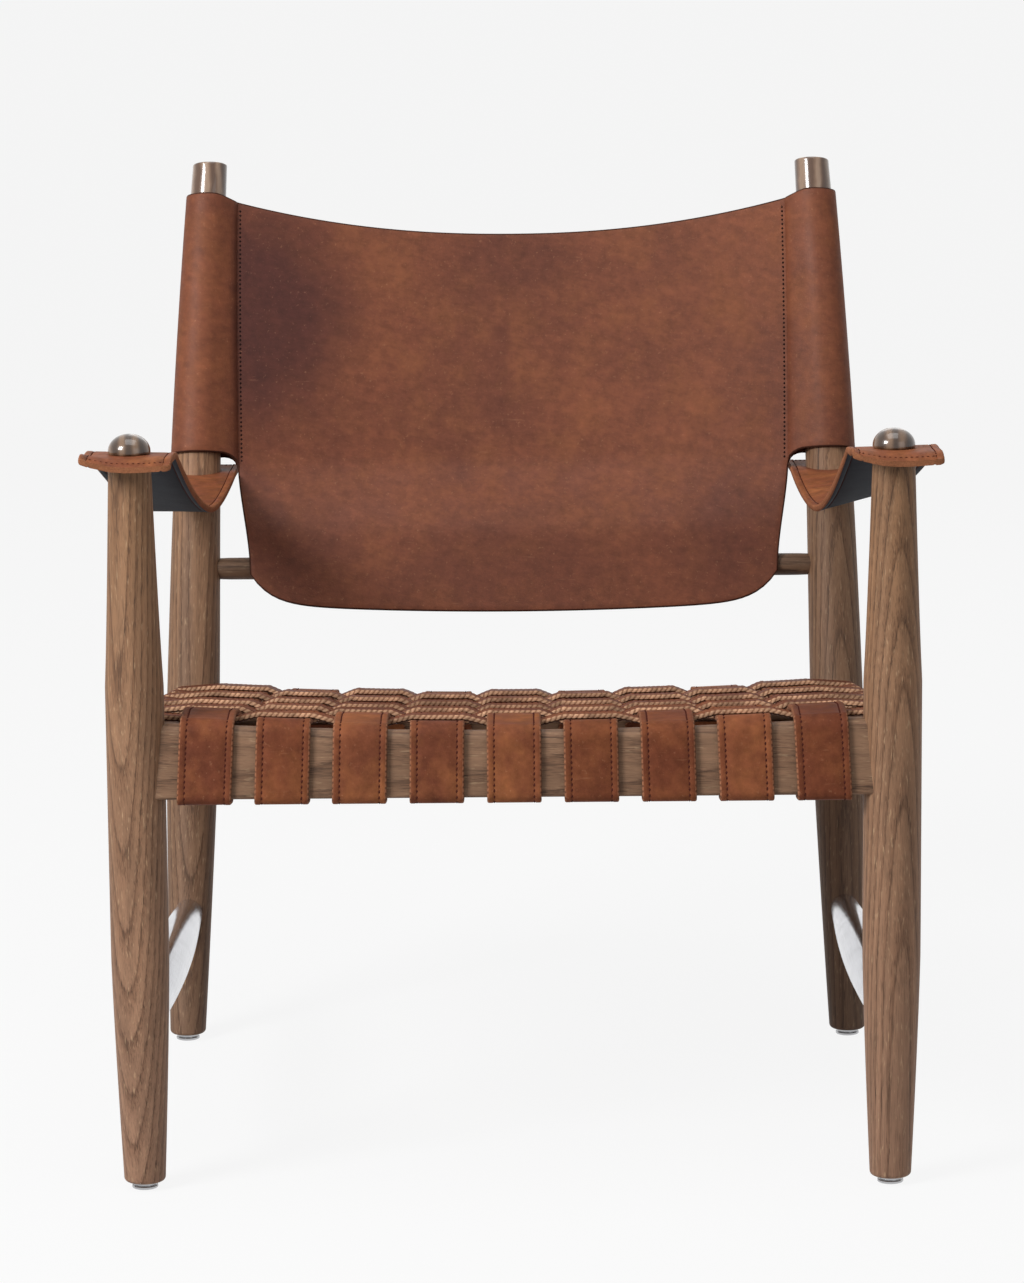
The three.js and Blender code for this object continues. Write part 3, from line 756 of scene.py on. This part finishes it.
glide = {"sides": 40, "rings": [
    (0, 9.6), (0.3, 10.5), (0.9, 11), (2.2, 11), (2.7, 10.6), (2.9, 9.7), (3.3, 9.4), (3.7, 9.7), (4.0, 10.3),
    (5.3, 10.4), (5.7, 10), (5.72, 3), (28, 3)]}
rearFootY = stance["rearReach"] + leg["foot"] * math.tan(lean)
corners = (("Front", legX, 0), ("Rear", stance["footX"], rearFootY))
feet = [(*corner, *end) for corner in corners for end in sides]
firstGlide = turnOnLathe("glideFrontLeft", glide["rings"], glide["sides"])
glideMesh = firstGlide.data.copy()
for place, x, y, word, side in feet:
    name = "glide" + place + word.title()
    piece = firstGlide if name == firstGlide.name else twinOf(firstGlide, name, glideMesh)
    piece.data.transform(Matrix.Translation(rowPoint(side * x, y, 0)))
    node = "glide_" + place.lower() + "_" + word
    dress(piece, node + "_body", "bright_steel", [brightSteel], node)


# domed knobs on the arm ends

knob = {"base": 619.6, "radius": 17.5, "rim": 2.2, "height": 16.5, "steps": 12, "sides": 56, "crown": 0.8,
        "foot": [(0, 16.8), (0.4, 17.3), (1.2, 17.5)]}
knobRings = list(knob["foot"])
for k in range(knob["steps"]):
    rise = math.pi / 2 * k / knob["steps"]
    dome = (knob["height"] - knob["rim"]) * math.sin(rise)
    knobRings.append((knob["rim"] + dome, knob["radius"] * math.cos(rise)))
knobRings.append((knob["height"], knob["crown"]))
knobs = copiesOf(turnOnLathe("knobBlank", knobRings, knob["sides"]), pairNames("armKnob"))
for piece, (word, side) in zip(knobs, sides):
    piece.data.transform(Matrix.Translation(rowPoint(side * legX, 0, knob["base"])))
    dress(piece, "knob_" + word + "_body", "lacquered_wood", [knobLacquer], "arm_knob_" + word)
    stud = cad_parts["knob_stud_" + word]
    stud.data.materials.clear()
    stud.data.materials.append(brightSteel)
print("wood and metal done")


# leather straps: a section swept along a smooth path, pinched where each stitch pulls

strapRim = {
    "lip": ((0.1, 0.55), (0.5, 0.92)), "fold": 1.4, "inner": 0.8, "flat": 0.35, "skin": 1.5, "pullFrom": 3.2,
    "pullOver": 2.6, "stitchRows": 3, "threadLift": 0.3, "threadSlant": 0.2, "smooth": 50, "tiny": 1e-9,
}


def evenPath(stations, step):
    points = [station[0] for station in stations]
    lengths = [0.0]
    for a, b in zip(points, points[1:]):
        lengths.append(lengths[-1] + (b - a).length)
    count = max(2, round(lengths[-1] / step))
    path = []
    k = 0
    for i in range(count + 1):
        at = lengths[-1] * i / count
        while k + 2 < len(lengths) and lengths[k + 1] < at:
            k += 1
        span = max(lengths[k + 1] - lengths[k], strapRim["tiny"])
        share = clamp((at - lengths[k]) / span)
        p0, p1, p2, p3 = points[max(k - 1, 0)], points[k], points[k + 1], points[min(k + 2, len(points) - 1)]
        slopeIn = (p2 - p0) * (span / max((p1 - p0).length + span, strapRim["tiny"]))
        slopeOut = (p3 - p1) * (span / max((p3 - p2).length + span, strapRim["tiny"]))
        s2, s3 = share ** 2, share ** 3
        spot = p1 * (2 * s3 - 3 * s2 + 1) + slopeIn * (s3 - 2 * s2 + share)
        spot = spot + p2 * (3 * s2 - 2 * s3) + slopeOut * (s3 - s2)
        path.append((spot, stations[k][1].lerp(stations[k + 1][1], share).normalized()))
    return path, lengths[-1]


def pathFrames(path):
    frames = []
    for i, (spot, across) in enumerate(path):
        along = (path[min(i + 1, len(path) - 1)][0] - path[max(i - 1, 0)][0]).normalized()
        frames.append((spot, across, across.cross(along).normalized(), along))
    return frames


def strapSection(half, cut):
    top, seam, hem, fold = cut["thick"] / 2, cut["seam"], cut["hem"], strapRim["fold"]
    oneSide = [(-half, 0.0)] + [(-half + inward, top * share) for inward, share in strapRim["lip"]]
    oneSide += [(-half + fold, top + hem), (-half + seam - fold, top + hem * strapRim["inner"]),
                (-half + seam, top - cut["groove"]), (-half + seam + fold, top)]
    middle = [(half * share, top) for share in (-strapRim["flat"], 0.0, strapRim["flat"])]
    upper = oneSide + middle + [(-a, b) for a, b in reversed(oneSide)]
    return upper + [(a, -b) for a, b in reversed(upper[1:-1])]


def setValues(piece, name, values):
    attribute = piece.data.attributes.new(name, "FLOAT", "POINT")
    attribute.data.foreach_set("value", values)


def sewnStrap(name, path, cut, curls=None):
    half, top, corner = cut["width"] / 2, cut["thick"] / 2, cut["corner"]
    section = strapSection(half, cut)
    count = len(section)
    travelled = [0.0]
    for (a, _), (b, _) in zip(path, path[1:]):
        travelled.append(travelled[-1] + (b - a).length / mm)
    points, pinches = [], []
    for i, (spot, across, out, along) in enumerate(pathFrames(path)):
        pull = int(i % strapRim["stitchRows"] == strapRim["stitchRows"] - 1)
        toEnd = min(travelled[i], travelled[-1] - travelled[i])
        lost = max(corner - toEnd, 0)  # rounded corners at the strap's ends
        narrow = (half - corner + math.sqrt(max(corner ** 2 - lost ** 2, 0))) / half
        curl = curls[i] if curls else (0, 0)
        for a, b in section:
            edgeShare = smooth((abs(a) - half + strapRim["pullFrom"]) / strapRim["pullOver"])
            reach = a * narrow * (1 - pull * edgeShare * cut["pinch"] / half)
            rise = b * (1 - pull * edgeShare * cut["squeeze"]) + curl[int(a >= 0)] * (a / half) ** 2
            drift = cut["slant"] * edgeShare * b / top
            points.append(spot + across * (reach * mm) + out * (rise * mm) + along * (drift * mm))
            pinches.append(pull * edgeShare)
    faces, kinds = [], []  # kinds: 0 face, 1 edge, 2 underside, 3 lower part of an edge, painted dark as shade
    rim = half - strapRim["skin"]
    for i in range(len(path) - 1):
        for j in range(count):
            k = (j + 1) % count
            faces.append((i * count + j, (i + 1) * count + j, (i + 1) * count + k, i * count + k))
            outer = abs(section[j][0]) > rim and abs(section[k][0]) > rim
            # the lower part of an edge, below the cut's limit, takes painted shade
            shaded = max(section[j][1], section[k][1]) < -cut["shadeBelow"] * top
            kinds.append((3 if shaded else 1) if outer else (2 if j >= count // 2 else 0))
    last = (len(path) - 1) * count
    faces += [tuple(range(count)), tuple(last + j for j in reversed(range(count)))]
    kinds += [1, 1]
    piece = meshPiece(name, points, faces)
    piece.data.polygons.foreach_set("material_index", kinds)
    setValues(piece, "pinch", pinches)
    setValues(piece, "tint", [cut["tint"]] * len(points))
    faceOutwards(piece, strapRim["smooth"])
    return piece


def addStitch(thread, spot, along, across, out, size):
    points, faces = thread
    long, wide, tall = (s * mm / 2 for s in size)
    first = len(points)
    points += [spot - along * long, spot + across * wide, spot + out * tall,
               spot - across * wide, spot - out * tall, spot + along * long]
    for a, b in ((1, 2), (2, 3), (3, 4), (4, 1)):
        faces += [(first, first + b, first + a), (first + 5, first + a, first + b)]


def sewLines(thread, path, cut, curls=None):
    frames = pathFrames(path)
    half, skip = cut["width"] / 2, cut["stitchSkip"]
    for i in range(1 + skip, len(frames) - 1 - skip, strapRim["stitchRows"]):
        spot, across, out, along = frames[i]
        for a in (cut["seam"] - half, half - cut["seam"]):
            bend = curls[i][int(a >= 0)] * (a / half) ** 2 if curls else 0
            for face in (1, -1):
                lift = face * (cut["thick"] / 2 - cut["groove"] + strapRim["threadLift"]) + bend
                slant = (along + across * strapRim["threadSlant"] * face).normalized()
                place = spot + across * (a * mm) + out * (lift * mm)
                addStitch(thread, place, slant, across, out, cut["stitch"])


def sewnThread(name, thread, finish):
    piece = meshPiece(name, *thread)
    dress(piece, "frame", "leather", [finish])
    return piece


# woven seat straps: plain weave over the four rails, ends tacked on the inner faces

weave = {
    "width": 45, "thick": 4, "fit": 0.5, "return": 30, "seatCount": 9, "reach": 254, "crossCount": 8,
    "gap": 0.6, "seam": 6.0, "groove": 0.6, "hem": 0.25, "corner": 3, "pitch": 4.6, "pinch": 0.1,
    "squeeze": 0.04, "slant": 0, "shadeBelow": 1, "stitch": (3.3, 2.0, 1.6), "stitchSkip": 2, "steps": 6,
    "frontRise": 3.6, "overRise": 1.2, "riseReach": 300, "slackEase": 6, "splay": 0.012, "splayFrom": 0.4,
    "crimpFront": 2.3, "crimp": 0.8, "tackIn": 9, "tackApart": 11,
    "overCross": (-0.8, -0.3, 0.3, 0.8), "overSeat": (-0.98, -0.7, 0, 0.7, 0.98),
    "seatTints": (0.15, 0.3, 0.45, 0.6, 0.75), "paleStraps": (2, 4), "paleTint": 0.9,
    "crossTints": (0.2, 0.4, 0.55, 0.7),
    # the lower half of the cross straps' edges takes painted shade
    "cross": {"hem": 0.35, "pinch": 0.35, "squeeze": 0.2, "slant": 1.5, "shadeBelow": 0.1},
}
halfStrap = weave["width"] / 2
lift = weave["fit"] + weave["thick"] / 2
sway = weave["thick"] + weave["gap"]  # between the two layers where straps cross
freeDepth = seatDepth - stance["railThick"] - weave["crossCount"] * weave["width"]
crossGap = freeDepth / (weave["crossCount"] + 1)
tackOut = halfThick + lift + weave["thick"] / 2
tackHeight = weave["return"] - stance["railHeight"] - weave["tackIn"]


def crossY(j):
    return halfThick + crossGap + halfStrap + j * (crossGap + weave["width"])


def strapX(i):
    return lerp(-weave["reach"], weave["reach"], i / (weave["seatCount"] - 1))


def wrapPath(top):
    low, high, base = rail["lowRound"], rail["topRound"], -stance["railHeight"]
    trail = [(halfThick + lift, weave["return"] + base)]
    corners = ((halfThick - low, low + base, low, 0), (low - halfThick, low + base, low, -90),
               (high - halfThick, top - high, high, 180))
    for across, height, radius, start in corners:
        for k in range(weave["steps"] + 1):
            angle = math.radians(start - 90 * k / weave["steps"])
            away = radius + lift
            trail.append((across + away * math.cos(angle), height + away * math.sin(angle)))
    return trail


def slack(y):  # the weave stands a little off the front rail
    return weave["frontRise"] * (1 - smooth(y / weave["riseReach"]))


def crimp(j):  # the long straps are pulled nearly straight
    return weave["crimp"] if j else weave["crimpFront"]


def strapAcross(x, height):
    if height > dish(x) - rail["topRound"]:
        return seatWay(*Vector((1, 0, 2 * rail["dish"] * x / dishHalf ** 2)).normalized())
    return seatWay(1, 0, 0)


seatThread, tackSpots, strapFlats = ([], []), [], {}


def layStrap(name, node, stations, cut, edges):
    path, length = evenPath(stations, weave["pitch"] / strapRim["stitchRows"] * mm)
    piece = sewnStrap(name, path, cut)
    dress(piece, "frame", "leather", [strapHide, edges[0], strapHide, edges[1]], node)
    sewLines(seatThread, path, weave)
    strapFlats[name] = length


for i in range(weave["seatCount"]):
    x = strapX(i)
    stations = []
    for across, height in wrapPath(dish(x) + (weave["frontRise"] if i % 2 else weave["overRise"])):
        fanned = x * (1 - weave["splay"] * (height / stance["railHeight"] + weave["splayFrom"]))
        stations.append((seatPoint(fanned, across, height), strapAcross(x, height)))
    for j in range(weave["crossCount"]):
        height = dish(x) + lift + slack(crossY(j)) + (-crimp(j) if (i + j) % 2 else crimp(j))
        for end in weave["overCross"]:
            stations.append((seatPoint(x, crossY(j) + end * halfStrap, height), strapAcross(x, height)))
    for across, height in reversed(wrapPath(dish(x))):
        stations.append((seatPoint(x, seatDepth - across, height), strapAcross(x, height)))
    tint = weave["paleTint"] if i in weave["paleStraps"] else dice.choice(weave["seatTints"])
    layStrap(f"seatStrap{i + 1}", f"seat_strap_{i + 1}", stations, {**weave, "tint": tint},
             (strapEdge, strapEdge))
    for along, inward in ((0, 1), (seatDepth, -1)):
        for aside in (-weave["tackApart"], weave["tackApart"]):
            spot = seatPoint(x + aside, along + inward * tackOut, tackHeight)
            tackSpots.append((spot, seatWay(0, inward, 0)))
for j in range(weave["crossCount"]):
    y = crossY(j)
    across = seatWay(0, -1, 0)
    sideX = lerp(legX, rearRailX, y / seatDepth)
    wrapped = wrapPath(0)
    stations = [(seatPoint(-(sideX - inward), y, height), across) for inward, height in wrapped]
    for i in range(weave["seatCount"]):
        height = lift + (sway - crimp(j)) * (1 if (i + j) % 2 else -1)
        for end in weave["overSeat"]:
            x = strapX(i) + end * halfStrap
            raised = height + dish(x) + slack(y) * (1 - (x / dishHalf) ** weave["slackEase"])
            stations.append((seatPoint(x, y, raised), across))
    stations += [(seatPoint(sideX - inward, y, height), across) for inward, height in reversed(wrapped)]
    cut = {**weave, **weave["cross"], "tint": dice.choice(weave["crossTints"])}
    layStrap(f"crossStrap{j + 1}", f"cross_strap_{j + 1}", stations, cut, (crossEdge, shadedLowerEdge))
    for _, side in sides:
        for aside in (-weave["tackApart"], weave["tackApart"]):
            nearX = lerp(legX, rearRailX, (y + aside) / seatDepth)
            spot = seatPoint(side * (nearX - tackOut), y + aside, tackHeight)
            tackSpots.append((spot, seatWay(-side, 0, 0)))
sewnThread("seatStitching", seatThread, redThread)
print("seat woven", len(seatThread[1]), "stitch faces")


# domed tacks that hold the strap ends

tack = {"sides": 14, "rings": [
    (-1.2, 1.2), (0, 1.3), (0.02, 4.0), (0.5, 4.2), (1.1, 3.6), (1.6, 2.6), (1.9, 1.4), (2.0, 0.4)]}
tackBlank = turnOnLathe("tackBlank", tack["rings"], tack["sides"])
tackPieces = copiesOf(tackBlank, [f"tack{k + 1}" for k in range(len(tackSpots))])
deselect()
for twin, (spot, outward) in zip(tackPieces, tackSpots):
    twin.data.transform(Matrix.Translation(spot) @ aimAt(outward))
    twin.select_set(True)
bpy.context.view_layer.objects.active = tackPieces[0]
bpy.ops.object.join()
dress(nameActive("strapTacks"), "frame", "bright_steel", [brightSteel])


# arm straps: leather over a dark lining, hung from the front leg back to the post

arm = {
    "width": 75, "thick": 5.2, "flap": 40, "droop": 6, "along": 541, "tail": 30, "floor": 614.3, "lie": 2.5,
    "legRadius": 17.4, "seam": 6.4, "groove": 0.9, "hem": 0.3, "corner": 2.2, "pitch": 4.4, "pinch": 0.15,
    "squeeze": 0.06, "slant": 0, "shadeBelow": 1, "stitch": (3.0, 1.4, 1.4), "stitchSkip": 4, "endLift": 0.1,
    "steps": 60, "tint": 0.66, "curl": (8, 2), "curlFrom": 8, "blunt": 0.012, "holeReach": 90, "holeGap": 0.5,
    "holeSides": 64,
    "left": {"sag": 40, "tip": 0.58, "ease": 1.42, "twist": 9, "twistEnd": 0.62},
    "right": {"sag": 35, "tip": 0.53, "ease": 1.7, "twist": 15, "twistEnd": 1.0},
}
halfArm = arm["width"] / 2


def armHeight(y, far, hang):
    rear = arm["along"] * math.cos(lean)
    overhang = max(-arm["legRadius"] - y, 0) / (arm["flap"] - arm["legRadius"])
    share = min(max(y - arm["legRadius"], 0) / (far - arm["legRadius"]), 1)
    away = (share - hang["tip"]) / (hang["tip"] if share < hang["tip"] else 1 - hang["tip"])
    lifted = math.sqrt(away ** 2 + arm["blunt"]) ** hang["ease"]
    straight = lerp(arm["floor"] + arm["lie"], rear, share)
    return straight - arm["droop"] * overhang ** 2 - hang["sag"] * max(1 - lifted, 0)


def cutPostHole(piece, side):
    deselect()
    low, high = arm["along"] - arm["holeReach"], arm["along"] + arm["holeReach"]
    wide, narrow = ((woodRadius(post, height) + arm["holeGap"]) * mm for height in (low, high))
    bpy.ops.mesh.primitive_cone_add(vertices=arm["holeSides"], radius1=wide, radius2=narrow,
                                    depth=(high - low) * mm)
    cutter = bpy.context.object
    axis = (onPost(side, high) - onPost(side, low)).normalized()
    cutter.data.transform(Matrix.Translation(rowPoint(*onPost(side, arm["along"]))) @ aimAt(axis))
    modify(piece, "BOOLEAN", object=cutter, operation="DIFFERENCE", solver="EXACT")
    bpy.data.objects.remove(cutter)
    smoothBy(piece, strapRim["smooth"])


def sewEnd(thread, path, curls, i):
    spot, across, out, along = pathFrames(path)[i]
    count = int((arm["width"] - 2 * arm["seam"]) / arm["pitch"])
    for k in range(count):
        a = (k - (count - 1) / 2) * arm["pitch"]
        bend = curls[i][int(a >= 0)] * (a / halfArm) ** 2
        for face in (1, -1):
            rise = face * (arm["thick"] / 2 + arm["endLift"]) + bend
            place = spot + across * (a * mm) + out * (rise * mm)
            addStitch(thread, place, across, along, out, arm["stitch"])


for word, side in sides:
    hang = arm[word]
    far = onPost(side, arm["along"]).y
    rearEnd = far + woodRadius(post, arm["along"]) + arm["tail"]
    stations = []
    for k in range(arm["steps"] + 1):
        y = lerp(-arm["flap"], rearEnd, k / arm["steps"])
        middle = side * lerp(legX, postX(arm["along"]), y / far)
        roll = side * math.radians(hang["twist"]) * math.sin(math.pi * clamp(y / far / hang["twistEnd"]))
        across = Vector((math.cos(roll), 0, math.sin(roll)))
        stations.append((rowPoint(middle, y, armHeight(y, far, hang)), across))
    path, length = evenPath(stations, arm["pitch"] / strapRim["stitchRows"] * mm)
    curls = []
    for spot, _ in path:
        past = rowPoint(0, -arm["curlFrom"], 0).y - spot.y
        overhang = smooth(past / (arm["flap"] - arm["curlFrom"]) / mm)
        curls.append([c * overhang for c in arm["curl"]])
    piece = sewnStrap("armStrap" + word.title(), path, arm, curls)
    cutPostHole(piece, side)
    dress(piece, "frame", "leather", [armHide, armEdge, charcoalLining, armEdge], "arm_strap_" + word)
    thread = ([], [])
    sewLines(thread, path, arm, curls)
    sewEnd(thread, path, curls, arm["stitchSkip"])
    sewEnd(thread, path, curls, len(path) - 1 - arm["stitchSkip"])
    threadPiece = sewnThread("armStitching" + word.title(), thread, redThread)
    strapFlats[piece.name] = length
print("arms hung")


# back sling: one hide, sewn back on itself round each post

sling = {
    "thick": 3.4, "from": 559, "to": 812, "ease": 0.6, "nose": 6, "noseDepth": 0.2, "seamLow": 38,
    "seamHigh": 27, "bulge": 22, "topDrop": 6, "topEase": 4, "topDip": 29, "dipEase": 2.2, "bottom": 404,
    "bottomRise": 9, "corner": 29, "cornerEase": 13, "hemInset": 12.5, "hold": 18, "fillet": 12,
    "filletEase": 10, "barGap": 0.3, "hem": 8, "hemRows": 3, "hemShort": 4, "hemGap": 0.4, "hemEase": 6,
    "sleeveStart": 0.16, "sleeveFloor": 20, "columns": 72, "sleeveColumns": 44, "upperRows": 40,
    "lowerRows": 26, "edgeRound": 1.5, "edgeSteps": 2, "smooth": 45,
    "stitchPitch": 4.2, "stitch": (2.9, 2.6, 2.0), "stitchAt": 0.985, "stitchFrom": 6, "stitchShort": 8,
    "flat": (0.93, 0.405),
}
barTop = stance["barAlong"] + bar["radius"] + sling["hold"]
restOnBar = bar["radius"] + sling["barGap"] + sling["thick"] / 2


def seamX(height):
    share = (height - sling["from"]) / (sling["to"] - sling["from"])
    return postX(height) - lerp(sling["seamLow"], sling["seamHigh"], share)


def topEdge(u):
    return sling["to"] - sling["topDrop"] - sling["topDip"] * (1 - abs(u) ** sling["dipEase"])


def bottomEdge(u):
    return sling["bottom"] + sling["bottomRise"] * u ** 2 + sling["corner"] * abs(u) ** sling["cornerEase"]


def splitEdge(u):
    return sling["from"] - sling["fillet"] * abs(u) ** sling["filletEase"]


def panelSpot(u, height, sideHeight):
    below = smooth((sling["from"] - sideHeight) / (sling["from"] - bottomEdge(1)))
    halfWidth = seamX(max(sideHeight, sling["from"])) - sling["hemInset"] * below
    held = smooth((sling["from"] - height) / (sling["from"] - barTop))
    bow = sling["bulge"] * (1 - u * u) * (1 - held) - restOnBar * held
    return u * halfWidth, bow, height


def panelRow(low, high, share):
    row = []
    for k in range(sling["columns"] + 1):
        u = 2 * k / sling["columns"] - 1
        row.append(panelSpot(u, lerp(low(u), high(u), share), lerp(low(1), high(1), share)))
    return row


def sleeveSpot(turnBy, height):
    radius = woodRadius(post, height) + sling["ease"] + sling["thick"] / 2
    inward = math.cos(turnBy)
    nose = (postX(height) - seamX(height) - radius) * max(inward, 0) ** sling["nose"]
    depth = (radius + nose * sling["noseDepth"]) * math.sin(turnBy)
    return postX(height) - inward * (radius + nose), depth, height


def hemAndSleeve(share):
    spots = []
    height = lerp(splitEdge(1) + sling["hemShort"], topEdge(1) - sling["hemShort"], share)
    seam = seamX(max(height, sling["from"]))
    behind = sling["thick"] + sling["hemGap"]
    for k in range(sling["hemRows"]):  # the hem behind the panel, sewn at the seam
        x = seam - sling["hem"] * (1 - k / sling["hemRows"])
        spots.append((x, panelSpot(x / seam, height, height)[1] + behind, height))
    free = woodRadius(post, sling["from"])
    for k in range(sling["sleeveColumns"]):  # behind, round the outside, then the front
        start = sling["sleeveStart"]
        turnBy = lerp(start, 2 * math.pi - start, k / (sling["sleeveColumns"] - 1))
        near = max(math.cos(turnBy), 0)
        inward = postX(sling["from"]) - sleeveSpot(turnBy, sling["from"])[0]
        past = clamp((inward - free) / (sling["seamLow"] - free))
        low = sling["from"] - sling["fillet"] * (1 - math.sqrt(1 - past ** 2))
        high = sling["to"] - sling["topDrop"] * near ** sling["topEase"]
        x, y, z = sleeveSpot(turnBy, max(lerp(low, high, share), sling["from"] - sling["sleeveFloor"]))
        if turnBy < math.pi:
            y += behind * near ** sling["hemEase"]
        spots.append((x, y, z))
    return spots


def slingRow(share):
    rightSide = hemAndSleeve(share)
    leftSide = [(-x, y, z) for x, y, z in rightSide]
    return leftSide + panelRow(splitEdge, topEdge, share) + rightSide[::-1]


slingPoints, slingFaces = [], []
for k in range(sling["upperRows"] + 1):
    row = slingRow(k / sling["upperRows"])
    slingPoints += [backPoint(*p) for p in row]
for k in range(sling["upperRows"]):
    for i in range(len(row) - 1):
        a = k * len(row) + i
        slingFaces.append((a, a + 1, a + len(row) + 1, a + len(row)))
panelStart = sling["hemRows"] + sling["sleeveColumns"]
lowerStart = len(slingPoints)
panelLength = sling["columns"] + 1
for k in range(sling["lowerRows"]):
    share = 1 - (k + 1) / sling["lowerRows"]
    slingPoints += [backPoint(*p) for p in panelRow(bottomEdge, splitEdge, share)]
    for i in range(panelLength - 1):
        upper = panelStart + i if k == 0 else lowerStart + (k - 1) * panelLength + i
        lower = lowerStart + k * panelLength + i
        slingFaces.append((lower, lower + 1, upper + 1, upper))
slingPiece = meshPiece("backSling", slingPoints, slingFaces)
dress(slingPiece, "frame", "leather", [slingHide, slingEdge], "back_sling")
modify(slingPiece, "SOLIDIFY", thickness=sling["thick"] * mm, offset=0, use_even_offset=True,
       material_offset_rim=1)
meeting = {}  # finishes that meet at each edge
for face in slingPiece.data.polygons:
    for key in face.edge_keys:
        meeting.setdefault(key, []).append(face.material_index)
rounded = [float(sorted(meeting[edge.key]) == [0, 1]) for edge in slingPiece.data.edges]
weights = slingPiece.data.attributes.new("bevel_weight_edge", "FLOAT", "EDGE")
weights.data.foreach_set("value", rounded)
modify(slingPiece, "BEVEL", width=sling["edgeRound"] * mm, segments=sling["edgeSteps"], material=1,
       limit_method="WEIGHT")
smoothBy(slingPiece, sling["smooth"])
thread = ([], [])
stitchCount = int((topEdge(1) - splitEdge(1) - sling["stitchShort"]) / sling["stitchPitch"])
for _, side in sides:
    for k in range(stitchCount):
        height = splitEdge(1) + sling["stitchFrom"] + k * sling["stitchPitch"]
        x, y, z = panelSpot(sling["stitchAt"] * side, height, height)
        along = (backPoint(x, y, z + 1) - backPoint(x, y, z)).normalized()
        across = Vector((1, 0, 0))
        for depth in (1.5 * sling["thick"] + sling["hemGap"], -sling["thick"] / 2):
            addStitch(thread, backPoint(x, y + depth, z), along, across, along.cross(across), sling["stitch"])
slingThread = sewnThread("slingStitching", thread, darkThread)


# pale floor and soft studio light

studio = {
    "matte": {"Base Color": (0.6, 0.6, 0.6, 1), "Roughness": 0.9},
    "floorGlow": {"Color": (0.99, 0.99, 0.99, 1), "Strength": 1.0}, "glowShare": 0.9,
    "floorSize": 240, "floorPlace": (0, 60, -0.0005), "aim": (0, 0, 0.45),
    "lit": {"Color": (1, 1, 1, 1), "Strength": 0.17},  # what lights the chair
    "shown": {"Color": (0.922, 0.922, 0.922, 1), "Strength": 1.0},  # what is seen behind it
    "lamps": (  # name, place, size, power
        ("keySoftbox", (-2.6, -2.4, 2.5), 1.4, 160),
        ("fillSoftbox", (2.4, -3.0, 1.6), 2.2, 14),
        ("topSoftbox", (0.0, -0.6, 3.2), 2.0, 34),
        ("backSoftbox", (0.4, 3.2, 2.2), 2.0, 10),
    ),
}


def seenDirectly(tree):
    rays = addNode(tree, "LightPath").outputs
    seen = mathOn("MAXIMUM", rays["Is Camera Ray"], rays["Is Glossy Ray"])
    return mathOn("MAXIMUM", seen, rays["Is Transmission Ray"])


def showMixed(factor, first, second, output):
    mixed = addNode(factor.id_data, "MixShader", Fac=factor)
    plug(first.outputs[0], mixed.inputs[1])
    plug(second.outputs[0], mixed.inputs[2])
    plug(mixed.outputs[0], factor.id_data.nodes[output].inputs["Surface"])


deselect()
bpy.ops.mesh.primitive_plane_add(size=studio["floorSize"], location=studio["floorPlace"])
floor = bpy.context.object
floor.name = "paleFloor"
paper = bpy.data.materials.new("palePaper")
paper.use_nodes = True
tree = paper.node_tree
matte = feed(tree.nodes["Principled BSDF"], studio["matte"])
glow = addNode(tree, "Emission", **studio["floorGlow"])
glowShare = mathOn("MULTIPLY", seenDirectly(tree), studio["glowShare"])
showMixed(glowShare, matte, glow, "Material Output")
floor.data.materials.append(paper)

world = bpy.data.worlds.new("studioWorld")
scene.world = world
world.use_nodes = True
tree = world.node_tree
lit = feed(tree.nodes["Background"], studio["lit"])
shown = addNode(tree, "Background", **studio["shown"])
showMixed(seenDirectly(tree), lit, shown, "World Output")

for name, place, size, power in studio["lamps"]:
    bpy.ops.object.light_add(type="AREA", location=place)
    lamp = bpy.context.object
    lamp.name = name
    lamp.data.size = size
    lamp.data.energy = power
    lamp.rotation_euler = (Vector(studio["aim"]) - Vector(place)).to_track_quat("-Z", "Y").to_euler()
deselect()
print("studio lit")

print("strap lengths", {name: round(length, 3) for name, length in strapFlats.items()})
